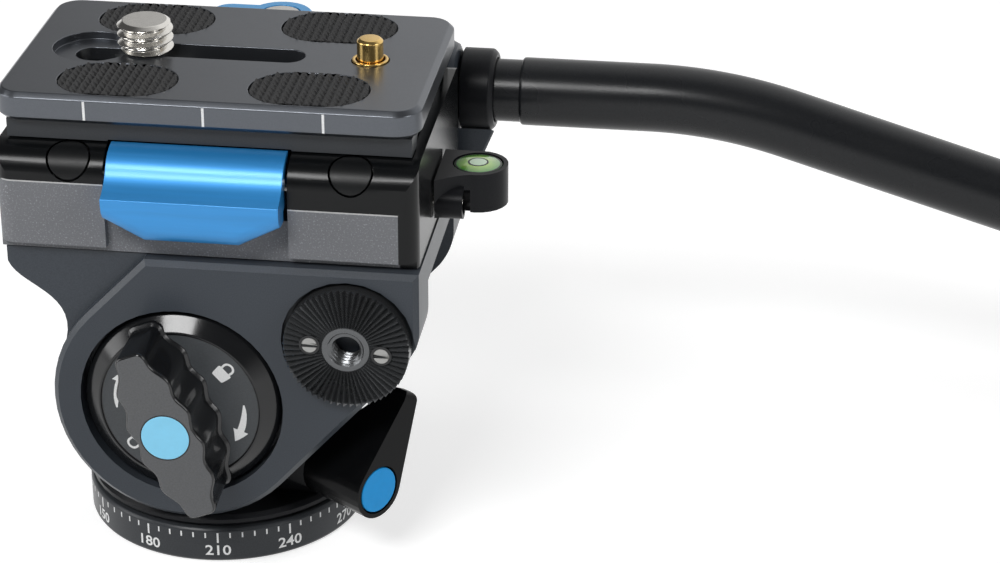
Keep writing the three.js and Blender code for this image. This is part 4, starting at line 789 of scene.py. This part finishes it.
def number_meshes():
    """A number for each 30 degrees, bent round the ring under its long tick."""
    for step in range(12):
        number = (DIAL_NUMBER_AT_FRONT + 30 * step) % 360
        turn = DIAL_FRONT_ANGLE + 90 + 30 * step
        middle_height = TICK_TOP - NUMBER_DROP

        def onto_ring(flat, turn=turn, height=middle_height):
            lifted = flat * np.array([NUMBER_WIDTH, 1, 1]) + np.array([0, height, 0.005])
            return turned_by(bent_round(lifted, ring_radius), turn)

        yield reshaped(text_mesh(str(number), NUMBER_HEIGHT), onto_ring)


dial_ink = joined("dial_print", *tick_meshes(), *number_meshes())
place("dial_print", dial_ink, "base", "casting_grey", white_ink, even=False)

# %% [markdown]
# ## The tilt lock knob
# A turned dial carries a raised wing for thumb and finger. The dial has a glossy bevelled rim and a
# satin face with a plain padlock and an arrow printed twice. The wing's sides are scalloped. It could be
# carved from a block; a closed outline that is inset a little at each level gives the same form, with
# every edge rounded.

# %% Knob dial
knob_low, knob_high = node_box("tilt_lock_knob")
knob_radius = (knob_high[0] - knob_low[0]) / 2
FACE_RADIUS = 13.7
wing_top = -knob_low[1]
WING_RISE = 11.2
BEVEL_DROP = 2.0
face_height = wing_top - WING_RISE
rim_height = face_height - BEVEL_DROP
seat_height = -knob_high[1]
dial_profile = eased(
    [
        [0, seat_height],
        [knob_radius, seat_height],
        [knob_radius, rim_height],
        [FACE_RADIUS + 0.35, face_height + 0.25],
        [FACE_RADIUS + 0.1, face_height + 0.25],
        [FACE_RADIUS, face_height],
        [0, face_height],
    ],
    [0, 0.3, 0.7, 0.3, 0.05, 0.05, 0],
    5,
    closed=False,
)
dial_points = facing_front(turned(dial_profile, 128), tilt_centre)
place_grid("knob_dial", dial_points, "tilt_knob", "gloss_black", gloss_black, "tilt_lock_knob")
disc_radius, disc_foot, disc_top = FACE_RADIUS - 0.15, face_height - 0.2, face_height + 0.03
face_profile = eased(
    [[0, disc_foot], [disc_radius, disc_foot], [disc_radius, disc_top], [0, disc_top]],
    [0, 0.02, 0.02, 0], 2, closed=False,
)
face_points = facing_front(turned(face_profile, 128), tilt_centre)
place_grid("knob_face", face_points, "tilt_knob", "gloss_black", knob_face)

# %% Knob wing
WING_TURN = 21.4
WING_HALF = 16.0
TIP_WIDTH = 3.0
SWELL = 2.6
WAVE_DEPTH = 0.42
WAVES = 5


def wing_outline(count=360):
    """A long closed curve. Along the length s the half width is 3 + 2.6 (1 - s^2), less five small waves,
    and both fall to zero at the tips along a rounded end."""
    angle = np.linspace(0, TURN, count, endpoint=False)
    share = np.sin(angle)
    side = np.cos(angle)
    along = np.sign(share) * np.abs(share) ** 0.62
    width = TIP_WIDTH + SWELL * (1 - along**2) - WAVE_DEPTH * np.cos(WAVES * math.pi * along)
    rounded = np.sign(side) * np.abs(side) ** 0.32
    return np.stack([width * rounded, WING_HALF * along], axis=-1)


def inset(outline, distance):
    """Moves a closed curve inwards along its normals."""
    ahead = np.roll(outline, -1, axis=0) - np.roll(outline, 1, axis=0)
    ahead /= np.linalg.norm(ahead, axis=1, keepdims=True)
    normal = np.stack([ahead[:, 1], -ahead[:, 0]], axis=-1)
    return outline - normal * distance


def lofted(outline, levels, centre, degrees):
    """Stacks insets of one outline at (inset, height) levels and closes both ends at the middle."""
    c, s = math.cos(math.radians(degrees)), math.sin(math.radians(degrees))
    rows = []
    for distance, height in levels:
        u, v = inset(outline, distance).T
        rows.append(np.stack([c * u - s * v, s * u + c * v, np.full(len(u), height)], axis=-1))
    return facing_front(capped(np.stack(rows)), centre)


wing_curve = wing_outline()
wing_levels = [
    (-0.35, face_height - 0.5),
    (-0.35, face_height + 0.25),
    (-0.15, face_height + 0.45),
    (0.12, face_height + 0.7),
    (0.2, face_height + 1.5),
    (0.05, wing_top - 0.75),
    (0.12, wing_top - 0.35),
    (0.32, wing_top - 0.1),
    (0.55, wing_top),
    (0.7, wing_top),
]
wing_points = lofted(wing_curve, wing_levels, tilt_centre, WING_TURN)
wing_skin = faced_moulding("wing_moulding", -(wing_top - 0.05))
place_grid("knob_wing", wing_points, "tilt_knob", "gloss_black", wing_skin)

# %% Cap of the knob
CAP_RADIUS = 4.07
cap_foot, cap_top = wing_top - 0.3, wing_top + 0.06
cap_profile = eased(
    [[0, cap_foot], [CAP_RADIUS, cap_foot], [CAP_RADIUS, cap_top], [0, cap_top]],
    [0, 0.02, 0.08, 0], 3, closed=False,
)
cap_points = facing_front(turned(cap_profile), tilt_centre)
place_grid("knob_cap", cap_points, "tilt_knob", "sky_plastic", sky_cap, "tilt_lock_cap")
# A thin black ring round the cap is painted shade: it stands for the shadow in the gap between the cap and
# the wing.
painted_gap_shade_end = CAP_RADIUS + 0.22
painted_gap_shade = np.array([[CAP_RADIUS, -0.1], [painted_gap_shade_end, -0.1], [painted_gap_shade_end, 0.02], [CAP_RADIUS, 0.02]])
painted_gap_shade_points = facing_front(turned(painted_gap_shade + np.array([0, wing_top])), tilt_centre)
place_grid("knob_cap_painted_gap_shade", painted_gap_shade_points, "tilt_knob", "gloss_black", gloss_black, along=True)

# %% Print on the knob
PRINT_RADIUS = 10.5
PADLOCK_ANGLE = 42
ARROW_ANGLE = -14
INK_FOOT = -0.03


def round_the_face(flat, degrees, radius=PRINT_RADIUS):
    """Bends (along, up, out) clockwise round the knob's axis, with the tops of the signs outwards."""
    angle = math.radians(degrees) - flat[..., 0] / radius
    reach = radius + flat[..., 1]
    height = flat[..., 2] + face_height + 0.04
    return facing_front(round_z(reach, angle, height), tilt_centre)


def ink_strip(places, low, high):
    """Rings of four corners for a strip of ink: at each place along, it reaches from low to high."""
    rows = []
    for position, under, over in zip(places, low, high):
        up = np.array([under, over, over, under])
        out = np.array([INK_FOOT, INK_FOOT, INK, INK])
        rows.append(np.stack([np.full(4, position), up, out], axis=-1))
    return capped(np.stack(rows))


def arrow(degrees):
    """A curved arrow: along its length the half width grows to the head, jumps out, and falls to the tip."""
    along = np.array([0, 0.8, 1.6, 2.4, 3.2, 4.0, 4.8, 4.8001, 5.6, 6.4, 7.0])
    half = np.array([0.12, 0.3, 0.42, 0.5, 0.56, 0.6, 0.62, 1.35, 0.9, 0.42, 0.02])
    strip = ink_strip(along - 3.5, 0.6 - half, 0.6 + half)
    return grid_mesh("arrow", round_the_face(strip, degrees))


def padlock(degrees):
    """A plain padlock. The block is a strip with rounded ends. The bow follows a half circle, and each ring
    of its four corners lies at the bow's inner and outer radius."""
    half = np.array([0.72, 0.98, 1.05, 1.05, 0.98, 0.72])
    block = ink_strip([-1.45, -1.36, -1.15, 1.15, 1.36, 1.45], -0.55 - half, -0.55 + half)
    turn = np.linspace(0, math.pi, 15)
    reach = np.array([1.05, 0.68, 0.68, 1.05])
    out = np.array([INK_FOOT, INK_FOOT, INK, INK])
    along = reach * np.cos(turn)[:, None]
    up = 1.0 + reach * np.sin(turn)[:, None]
    bow = np.stack([along, up, np.broadcast_to(out, along.shape)], axis=-1)
    first, last = bow[:1].copy(), bow[-1:].copy()
    first[..., 1] = last[..., 1] = 0.45
    bow = capped(np.concatenate([first, bow, last]))
    return [grid_mesh("padlock", round_the_face(shape, degrees)) for shape in (block, bow)]


knob_print = []
for half_turn in (0, 180):
    knob_print.extend(padlock(PADLOCK_ANGLE + half_turn))
    knob_print.append(arrow(ARROW_ANGLE + half_turn))
place("knob_print", joined("knob_print", *knob_print), "tilt_knob", "gloss_black", white_ink, even=False)

# %% [markdown]
# ## The rosette
# Sixty radial teeth let the bar lock at any of sixty angles; their number is an estimate. Each tooth is
# a ridge that gets lower and narrower towards the hub, so all flanks meet in the axis. Sixty copies of a
# tooth would do; one grid over angle and radius with a triangle wave as its height is simpler and has no
# seams between teeth.

# %% Toothed disc
TEETH = 60
rosette_low, rosette_high = node_box("rosette_front")
rosette_radius = (rosette_high[0] - rosette_low[0]) / 2
rosette_face = -rosette_low[1]
rosette_back = -rosette_high[1]


def toothed_disc(inner, outer, peak, back, depth, per_tooth=8, rows=10):
    """Height = peak - depth * r/R * wave(angle), where wave is a triangle between 0 on a ridge and 1 in a
    root."""
    angle = np.linspace(0, TURN, TEETH * per_tooth, endpoint=False)
    phase = (angle * TEETH / TURN) % 1.0
    wave = np.clip(np.abs(2 * phase - 1) * 1.15 - 0.075, 0, 1)
    radius = np.linspace(inner, outer, rows)[:, None]
    top = round_z(radius, angle, peak - depth * (radius / outer) * wave[None, :])
    rim = top[-1:].copy()
    rim[..., 2] -= 0.12
    under = [round_z(reach, angle, back)[None] for reach in (outer, inner)]
    return np.concatenate([top, rim, *under])


TEETH_START = 4.1
TOOTH_DEPTH = 1.05
teeth = toothed_disc(TEETH_START, rosette_radius, rosette_face, rosette_back, TOOTH_DEPTH)
rosette_teeth = grid_mesh("rosette_teeth", facing_front(teeth, rosette_centre), along=True)

# %% Threaded hub
THREAD_RADIUS = 2.9
THREAD_PITCH = 1.0


def thread_wave(angle, height, pitch):
    """0 on a crest and 1 in a root: a rounded triangle of the height less the turn's share of the pitch."""
    phase = (height / pitch - angle / TURN) % 1.0
    return np.clip(np.abs(2 * phase - 1) * 1.25 - 0.125, 0, 1)


def threaded_hub(outer, crest, depth, pitch, face, back):
    """A ring whose bore carries a thread: the bore's radius is crest + depth * wave."""
    steps = 72
    angle = np.linspace(0, TURN, steps, endpoint=False)
    height = np.linspace(back, face - 0.35, 64)[:, None]
    radius = crest + depth * thread_wave(angle[None, :], height, pitch)
    bore = round_z(radius, angle, height)
    rings = [(crest + depth + 0.05, face - 0.3), (crest + depth + 0.3, face - 0.05), (outer - 0.35, face),
             (outer - 0.1, face - 0.08), (outer, face - 0.3), (outer, back)]
    rim = turned(rings, steps)
    return np.concatenate([bore, rim])


HUB_RADIUS = 4.15
THREAD_DEPTH = 0.5
CREST_RADIUS = THREAD_RADIUS - 0.55
hub = threaded_hub(HUB_RADIUS, CREST_RADIUS, THREAD_DEPTH, THREAD_PITCH, rosette_face - 0.15, rosette_back)
rosette_hub = grid_mesh("rosette_hub", facing_front(hub, rosette_centre), along=True)
rosette_mesh = joined("rosette_disc", rosette_teeth, rosette_hub)
rosette_finish = blasted_anodise("rosette_metal", (0.11, 0.114, 0.118), 0.26, 0.8)
place("rosette_disc", rosette_mesh, "tilt_body", "casting_grey", rosette_finish, "rosette_front", even=False)

# %% Screws of the rosette


def half_head(radius, gap, low, high, side):
    """One half of a slotted head: the part of a disc past the gap, with its top edge drawn in."""
    start = math.asin(gap / radius)
    angle = np.linspace(start, math.pi - start, 25)
    outline = np.stack([radius * np.cos(angle), side * radius * np.sin(angle)], axis=-1)
    centre = outline.mean(axis=0)
    rows = []
    for share, height in ((1, low), (1, high - 0.15), (0.93, high)):
        flat = centre + share * (outline - centre)
        rows.append(np.concatenate([flat, np.full((len(flat), 1), height)], axis=-1))
    return capped(np.stack(rows))


SCREW_SLOT = 0.32
PAINTED_SCREW_SHADE_WIDTH = 0.4
for node in ("rosette_screw_right", "rosette_screw_left"):
    low, high = node_box(node)
    centre, radius = (low + high) / 2, (high[0] - low[0]) / 2
    top = rosette_face + 0.1
    foot, floor_height = -high[1], top - 0.45
    disc = turned([[0, foot], [radius, foot], [radius, floor_height], [0, floor_height]], 48)
    halves = [half_head(radius, SCREW_SLOT, top - 0.5, top, side) for side in (-1, 1)]
    shapes = [grid_mesh(node, facing_front(points, centre)) for points in (disc, *halves)]
    place(node + "_turned", joined(node + "_turned", *shapes), "tilt_body", "bright_steel", dull_steel, node)
    # Round each head a thin black ring is painted shade: it stands for the shadow in the gap between the head
    # and the disc.
    wide, low_edge, high_edge = radius + PAINTED_SCREW_SHADE_WIDTH, top - 0.6, top - 0.06
    ring = turned([[radius, low_edge], [wide, low_edge], [wide, high_edge], [radius, high_edge]], 48)
    screw_painted_shade = facing_front(ring, centre)
    place_grid(node + "_pocket", screw_painted_shade, "tilt_body", "gloss_black", gloss_black, along=True)

# %% [markdown]
# ## Pads of the plate
# Four rubber pads stop the camera from twisting. Their tops are small pyramids in rows. A displacement
# picture could raise them, but the height only follows the larger of two triangle waves, so a grid can
# carry it. Every line of the grid is as wide as the pad is there, so the rounded ends need no cutting.

# %% Pyramid pads
PYRAMID_PITCH = (1.43, 1.6)
PYRAMID_HEIGHT = 0.95


def pyramid_pad(low, high, columns=150, rows=100):
    """Height = top - depth * max(|u|, |v|) on each pyramid, where u and v run from -1 to 1 across it. The
    point and the root are cut a little flat."""
    centre, half = (low + high) / 2, (high - low) / 2
    end = half[1]
    y = end * np.sin(np.linspace(-math.pi / 2, math.pi / 2, rows)[1:-1])[:, None]
    reach = half[0] - end + np.sqrt(end**2 - y**2)
    x = reach * np.linspace(-1, 1, columns)[None, :]
    y = np.broadcast_to(y, x.shape)
    u = 2 * ((x / PYRAMID_PITCH[0]) % 1.0) - 1
    v = 2 * ((y / PYRAMID_PITCH[1]) % 1.0) - 1
    steep = np.clip(np.maximum(np.abs(u), np.abs(v)) * 1.15 - 0.1, 0, 1)
    height = high[2] + 0.25 - PYRAMID_HEIGHT * steep
    top = np.stack([centre[0] + x, centre[1] + y, height], axis=-1)
    foot = top.copy()
    foot[..., 2] = low[2]
    wrapped = np.concatenate([top, foot[:, ::-1]], axis=1)
    return capped(wrapped)


pads = [n for n in frame["nodes"] if n.startswith("pad_")]
for pad in pads:
    low, high = node_box(pad)
    mesh = grid_mesh(pad + "_points", pyramid_pad(low, high))
    mesh.set_sharp_from_angle(angle=math.radians(20))
    place(pad + "_points", mesh, "plate", "pad_rubber", pad_black, pad, even=False)

# %% [markdown]
# ## Camera screw and video pin
# The camera screw carries the larger of the two usual camera threads: three eighths of an inch across,
# sixteen threads to the inch. The thread is a surface over angle and height, whose radius dips by the
# thread's depth once a turn. Beyond it stands a sprung brass pin in its collar.

# %% Camera screw
SCREW_PITCH = 25.4 / 16
SCREW_DEPTH = 0.85
screw_low, screw_high = node_box("camera_screw")
screw_centre = (screw_low + screw_high) / 2
plate_top = plate_high[2]


def screw_surface(radius, low, high, steps=96, rows=90):
    """Radius = r - depth * wave, and towards the tip it shrinks to a chamfer."""
    angle = np.linspace(0, TURN, steps, endpoint=False)
    height = np.linspace(low, high, rows)[:, None]
    reach = radius - SCREW_DEPTH * thread_wave(angle[None, :], height, SCREW_PITCH)
    tip = radius - 0.95 + np.clip((high - height) / 0.75, 0, 1) * 1.2
    return round_z(np.minimum(reach, tip), angle, height)


SCREW_RADIUS = 4.76
NECK = 2.5
HEAD = 7.5
head_foot, head_top = screw_low[2], screw_low[2] + 2.4
thread = screw_surface(SCREW_RADIUS, plate_top + 0.35, screw_high[2])
neck = turned([[NECK, screw_low[2] + 2.6], [NECK, plate_top + 0.3], [4.2, plate_top + 0.3]], 96)
head_profile = eased(
    [[0, head_foot], [HEAD, head_foot], [HEAD, head_top], [NECK, head_top]],
    [0, 0.35, 0.35, 0], 3, closed=False,
)
head = turned(head_profile, 96)
tip_rings = turned([[3.7, screw_high[2]], [3.5, screw_high[2]], [0, screw_high[2]]], 96)
camera_screw = upright(np.concatenate([head, neck, thread, tip_rings]), screw_centre)
place_grid("camera_screw_thread", camera_screw, "screw", "bright_steel", bright_steel, "camera_screw",
           even=False)

# %% Video pin
pin_low, pin_high = node_box("video_pin")
pin_centre = (pin_low + pin_high) / 2
PIN_RADIUS = 2.25
FLANGE_RADIUS = 2.9
pin_foot, flange_top, pin_top = pin_low[2], pin_low[2] + 0.9, pin_high[2]
pin_profile = eased(
    [[0, pin_foot], [FLANGE_RADIUS, pin_foot], [FLANGE_RADIUS, flange_top], [PIN_RADIUS, flange_top],
     [PIN_RADIUS, pin_top - 0.45], [PIN_RADIUS - 0.5, pin_top], [0, pin_top]],
    [0, 0.1, 0.1, 0.1, 0.12, 0.12, 0], 4, closed=False,
)
pin_points = upright(turned(pin_profile, 72), pin_centre)
place_grid("video_pin_turned", pin_points, "pin", "pin_brass", pin_brass, "video_pin")

# %% [markdown]
# A coil spring lifts the pin. A spring that gets shorter can't ride on one body alone; here its softened copy
# gets a mesh of its own.

# %% Spring of the pin and collar
spring_low, spring_high = node_box("video_pin_spring")
pin_spring = softened("video_pin_spring", bright_steel, 0.0)
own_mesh(pin_spring)
collar_low, collar_high = node_box("video_pin_collar")
COLLAR_BORE = 2.55
COLLAR_RADIUS = 3.1
foot, top = collar_low[2], collar_high[2]
collar_profile = eased(
    [[COLLAR_BORE, foot], [COLLAR_RADIUS, foot], [COLLAR_RADIUS, top], [COLLAR_BORE, top]], 0.12, 3
)
collar_points = upright(turned(collar_profile, 72), pin_centre)
place_grid("pin_collar_turned", collar_points, "plate", "pin_brass", pin_brass, "video_pin_collar",
           along=True)

# %% Index marks on the plate's front
MARKS = (-20.0, 0.0, 20.0)
plate_middle = (plate_low + plate_high) / 2
SLAB_HEIGHT = 5.06
MARK_WIDTH = 0.42
FOOT_MARGIN, HEAD_MARGIN = 0.85, 0.9
slab_foot = plate_top - SLAB_HEIGHT


def front_mark(x):
    """A thin upright bar of ink on the plate's front face."""
    bar = capped(ink_box(MARK_WIDTH, slab_foot + FOOT_MARGIN, plate_top - HEAD_MARGIN))
    along, up, out = bar[..., 0], bar[..., 1], bar[..., 2]
    return grid_mesh("mark", np.stack([x + along, plate_low[1] - out, up], axis=-1))


plate_marks = joined("plate_marks", *[front_mark(plate_middle[0] + x) for x in MARKS])
place("plate_marks", plate_marks, "plate", "plate_anodised", white_ink, even=False)

# %% [markdown]
# ## The level
# A round vial holds a yellow-green liquid with one bubble under a domed window. A ring on the window
# says where the bubble should stand. Real liquid could be modelled and refracted, but at this size
# colours under a clear coat look much the same and stay clean in every view.

# %% Vial
vial_low, vial_high = node_box("level_vial")
vial_centre = (vial_low + vial_high) / 2
VIAL_RADIUS = 4.1
BUBBLE_RADIUS = 1.55
GREEN_RIM = 2.2
BUBBLE_RING = (1.5, 1.78)
RIM_RING = (3.78, 4.08)
DOME_RISE = 0.4
dome_edge = vial_high[2] - 0.45


def vial_liquid_material():
    """Green at the rim to yellow inside, with a pale bubble: rings of the distance from the vial's axis."""
    material, tree, shader = new_material("vial_liquid", 0.12, coat=1.0, coat_roughness=0.02)
    where = tree.nodes.new("ShaderNodeTexCoord")
    moved = tree.nodes.new("ShaderNodeMapping")
    moved.inputs["Location"].default_value = (-vial_centre[0] * MM, -vial_centre[1] * MM, 0)
    tree.links.new(where.outputs["Object"], moved.inputs["Vector"])
    flat = tree.nodes.new("ShaderNodeVectorMath")
    flat.operation = "MULTIPLY"
    flat.inputs[1].default_value = (1000, 1000, 0)
    tree.links.new(moved.outputs["Vector"], flat.inputs[0])
    length = tree.nodes.new("ShaderNodeVectorMath")
    length.operation = "LENGTH"
    tree.links.new(flat.outputs["Vector"], length.inputs[0])
    distance = length.outputs["Value"]
    cloud = stretched_noise(tree, (1, 1, 1), 520.0, 2.0, 0.5)
    rim = calc(tree, "MULTIPLY", calc(tree, "SUBTRACT", distance, GREEN_RIM), 0.6, clamp=True)
    green = mix_colour(tree, cloud, (0.13, 0.46, 0.05), (0.50, 0.68, 0.12))
    liquid = mix_colour(tree, rim, green, (0.03, 0.22, 0.03))
    bubble = calc(tree, "LESS_THAN", distance, BUBBLE_RADIUS)
    with_bubble = mix_colour(tree, bubble, liquid, (0.52, 0.74, 0.50))
    tree.links.new(with_bubble, shader.inputs["Base Color"])
    bump(tree, shader, cloud, 0.1, 0.02)
    return material


def dome(radius, foot, edge, rise, rings=18):
    """A closed lens: straight sides, then a cap whose height falls with the square of the radius."""
    share = np.linspace(1, 0, rings)
    cap = np.stack([radius * share, edge + rise * (1 - share**2)], axis=-1)
    return np.concatenate([[[0, foot], [radius, foot], [radius, edge - 0.05]], cap])


vial_points = upright(turned(dome(VIAL_RADIUS, vial_low[2], dome_edge, DOME_RISE), 96), vial_centre)
vial_liquid = vial_liquid_material()
place_grid("vial_lens", vial_points, "tilt_body", "vial_glass", vial_liquid, "level_vial")


def vial_ring(inner, outer):
    """A thin black ring printed on the dome."""
    radius = np.array([inner, outer, outer, inner])
    lift = dome_edge + DOME_RISE * (1 - (radius / VIAL_RADIUS) ** 2)
    height = lift + np.array([-0.05, -0.05, 0.02, 0.02])
    points = turned(np.stack([radius, height], axis=-1), 72)
    return grid_mesh("ring", upright(points, vial_centre), along=True)


ring_black = moulding("ring_black", (0.01, 0.01, 0.01), 0.3)
vial_rings = joined("vial_rings", vial_ring(*BUBBLE_RING), vial_ring(*RIM_RING))
place("vial_rings", vial_rings, "tilt_body", "vial_glass", ring_black, even=False)

# %% [markdown]
# ## The pan bar
# The bar is one aluminium tube with a gentle bend, turned down where it enters the holder, with a rubber
# grip on its far end. A curve object with a bevel would give the tube. Here the centre line is written
# out, and a ring of points is set square on it at each step, which also keeps the neck and its small
# shoulder.

# %% Bar tube
BAR_Y = 34.9
BAR_Z = 67.4
BAR_RADIUS = 6.16
NECK_RADIUS = 5.66
BAR_START = 34.0
NECK_END = 49.2
BEND_START = 72.4
BEND_RADIUS = 87.5
BEND_ANGLE = math.radians(16.9)
SLOPE_LENGTH = 172.0


def bar_line(bend_steps=40, slope_steps=24):
    """Level, then a curve (1-t)^2 A + 2t(1-t) B + t^2 C, then a straight slope. Returns x and z."""
    rise = BEND_RADIUS * (1 - math.cos(BEND_ANGLE))
    handle = BEND_RADIUS * math.tan(BEND_ANGLE / 2)
    start = np.array([BEND_START, BAR_Z])
    corner = start + np.array([handle, 0])
    bend_end = np.array([BEND_START + BEND_RADIUS * math.sin(BEND_ANGLE), BAR_Z - rise])
    t = np.linspace(0, 1, bend_steps)[:, None]
    bend = (1 - t) ** 2 * start + 2 * t * (1 - t) * corner + t**2 * bend_end
    slope_way = np.array([math.cos(BEND_ANGLE), -math.sin(BEND_ANGLE)])
    slope = bend_end + np.linspace(0, SLOPE_LENGTH, slope_steps)[1:, None] * slope_way
    level = np.stack([np.linspace(NECK_END + 0.6, BEND_START, 8)[:-1], np.full(7, BAR_Z)], axis=-1)
    return np.concatenate([level, bend, slope]), slope_way


def swept(line, radius, sides=64):
    """Sets a ring square on each place of the line. radius is a number for each place."""
    ahead = np.gradient(line, axis=0)
    ahead /= np.linalg.norm(ahead, axis=1, keepdims=True)
    upward = np.stack([-ahead[:, 1], ahead[:, 0]], axis=-1)
    around = np.linspace(0, TURN, sides, endpoint=False)
    up = (radius[:, None] * np.sin(around))[..., None] * upward[:, None, :]
    x = line[:, None, 0] + up[..., 0]
    z = line[:, None, 1] + up[..., 1]
    y = BAR_Y + radius[:, None] * np.cos(around)
    return np.stack([x, y, z], axis=-1)


line, slope_way = bar_line()
lead_x = np.array([BAR_START, BAR_START + 0.1, NECK_END, NECK_END + 0.02, NECK_END + 0.3])
lead = np.stack([lead_x, np.full(len(lead_x), BAR_Z)], axis=-1)
lead_radius = np.array([NECK_RADIUS - 0.3, NECK_RADIUS, NECK_RADIUS, NECK_RADIUS + 0.15, BAR_RADIUS - 0.05])
bar_radii = np.concatenate([lead_radius, np.full(len(line), BAR_RADIUS)])
bar_points = capped(swept(np.concatenate([lead, line]), bar_radii))
place_grid("bar_tube_swept", bar_points, "pan_bar", "housing_black", bar_black, "bar_tube")

# %% Rubber grip
GRIP_LENGTH = 96.0
GRIP_RADIUS = 10.2
GROOVE_PITCH = 5.2
GROOVE_DEPTH = 0.9
PLAIN_BAND = 9.0
bar_end = line[-1]


def along_slope(points):
    """Lays a shape turned about Z along the bar's slope, with height 0 at the bar's end."""
    x, y, z = points[..., 0], points[..., 1], points[..., 2]
    across = np.array([slope_way[1], -slope_way[0]])
    place_x = bar_end[0] + z * slope_way[0] - x * across[0]
    place_z = bar_end[1] + z * slope_way[1] - x * across[1]
    return np.stack([place_x, BAR_Y + y, place_z], axis=-1)


def grip_profile():
    """Shallow rounded grooves along most of the grip, a plain band at each end."""
    height = np.linspace(-GRIP_LENGTH + 1, -1.2, 420)
    groove = np.clip(np.cos((height + GRIP_LENGTH / 2) * TURN / GROOVE_PITCH) - 0.35, 0, 1) * GROOVE_DEPTH
    inside = np.clip((GRIP_LENGTH / 2 - PLAIN_BAND - np.abs(height + GRIP_LENGTH / 2)) / 1.5, 0, 1)
    skin = np.stack([GRIP_RADIUS - groove * inside, height], axis=-1)
    inner = BAR_RADIUS + 0.3
    before = [[inner, -GRIP_LENGTH], [GRIP_RADIUS - 1, -GRIP_LENGTH], [GRIP_RADIUS - 0.3, -GRIP_LENGTH + 0.3]]
    after = [[GRIP_RADIUS - 0.3, -0.5], [GRIP_RADIUS - 0.6, -0.3], [inner, -0.3]]
    return np.concatenate([before, skin, after])


grip_mesh = grid_mesh("grip_rubber", along_slope(turned(grip_profile(), 96)), along=True)
place("grip_rubber_sleeve", grip_mesh, "pan_bar", "pad_rubber", grip_black, "bar_grip", even=False)

# %% [markdown]
# ## Stage, light and camera
# The object stands on a plain white floor before a white world. A soft box in front of it and above
# gives the bands of light on the curved parts, and a weaker one on each side opens the shadows. What
# gloss mirrors is bright behind the object and low down, and dark above. The camera stands where the
# photograph was taken: three coordinates, three angles and a focal length.

# %% Floor
floor_mesh = bpy.data.meshes.new("floor")
FLOOR_HALF = 3.0
FLOOR_PLACE = -0.0002
floor_corners = np.array([[-1, -1, 0], [1, -1, 0], [1, 1, 0], [-1, 1, 0]]) * FLOOR_HALF
floor_corners[:, 2] = FLOOR_PLACE
floor_mesh.from_pydata(floor_corners.tolist(), [], [(0, 1, 2, 3)])
floor = linked("floor", floor_mesh)
floor_material, floor_tree, floor_shader = new_material("floor_white", 0.9)
floor_shader.inputs["Base Color"].default_value = (0.6, 0.6, 0.6, 1)
floor_shader.inputs["Emission Color"].default_value = (1, 1, 1, 1)
FLOOR_LIFT = 0.62
floor_ray = floor_tree.nodes.new("ShaderNodeLightPath")
glossy, through = floor_ray.outputs["Is Glossy Ray"], floor_ray.outputs["Is Transmission Ray"]
mirrored = calc(floor_tree, "MAXIMUM", glossy, through)
shown = calc(floor_tree, "MAXIMUM", floor_ray.outputs["Is Camera Ray"], mirrored)
lifted = calc(floor_tree, "MULTIPLY", shown, FLOOR_LIFT)
floor_tree.links.new(lifted, floor_shader.inputs["Emission Strength"])
floor_mesh.materials.append(floor_material)

# %% World
world = bpy.data.worlds.new("studio")
bpy.context.scene.world = world
world.use_nodes = True
world_tree = world.node_tree
background = world_tree.nodes["Background"]
ray = world_tree.nodes.new("ShaderNodeLightPath")
way = axis_parts(world_tree, "ShaderNodeTexCoord", "Generated")
seen = calc(world_tree, "MAXIMUM", ray.outputs["Is Camera Ray"], ray.outputs["Is Transmission Ray"])
behind = calc(world_tree, "MULTIPLY_ADD", way["Y"], 1.6, 0.25, clamp=True)
to_the_right = calc(world_tree, "MULTIPLY_ADD", way["X"], 3.2, 1.25, clamp=True)
backwards = calc(world_tree, "MULTIPLY", behind, to_the_right)
low_sky = calc(world_tree, "SUBTRACT", 1.0, calc(world_tree, "MULTIPLY", way["Z"], 3.6), clamp=True)
white_wall = calc(world_tree, "MAXIMUM", backwards, low_sky)
mirrored_wall = calc(world_tree, "MULTIPLY", white_wall, ray.outputs["Is Glossy Ray"])
soft_fill = calc(world_tree, "MULTIPLY_ADD", white_wall, 0.6, 0.08)
around = calc(world_tree, "MAXIMUM", soft_fill, mirrored_wall)
strength = calc(world_tree, "MAXIMUM", seen, around)
world_tree.links.new(strength, background.inputs["Strength"])
background.inputs["Color"].default_value = (1, 1, 1, 1)

# %% Soft boxes


def soft_box(name, place_m, aim_m, width, height, watts):
    """A rectangular area lamp turned towards a point."""
    lamp = bpy.data.lights.new(name, "AREA")
    lamp.shape = "RECTANGLE"
    lamp.size, lamp.size_y = width, height
    lamp.energy = watts
    holder = linked(name, lamp)
    holder.location = place_m
    way = np.array(aim_m) - np.array(place_m)
    flat = math.hypot(way[0], way[1])
    holder.rotation_euler = (math.atan2(flat, -way[2]), 0, math.atan2(way[1], way[0]) - math.pi / 2)
    return holder


soft_box("key_box", (-0.25, -0.85, 0.95), (0.02, 0, 0.05), 0.55, 0.28, 9.0)
soft_box("side_box", (-1.1, -0.3, 0.5), (0, 0, 0.05), 0.5, 0.8, 5.0)
soft_box("right_box", (1.2, -0.5, 0.7), (0.05, 0, 0.05), 0.5, 0.6, 5.0)

# %% Camera
CAMERA_PLACE = (0.10772, -0.45223, 0.26853)
CAMERA_TURN = (63.95989, -0.16173, 7.38902)
FOCAL_PIXELS = 2910.87
PICTURE_WIDTH = 1000
FILM_WIDTH = 36.0
lens = bpy.data.cameras.new("photo_camera")
camera = linked("photo_camera", lens)
bpy.context.scene.camera = camera
lens.sensor_fit = "HORIZONTAL"
lens.sensor_width = FILM_WIDTH
lens.lens = FILM_WIDTH * FOCAL_PIXELS / PICTURE_WIDTH
lens.clip_start = 0.01
camera.location = CAMERA_PLACE
camera.rotation_euler = [math.radians(angle) for angle in CAMERA_TURN]
bpy.context.scene.view_settings.view_transform = "Standard"
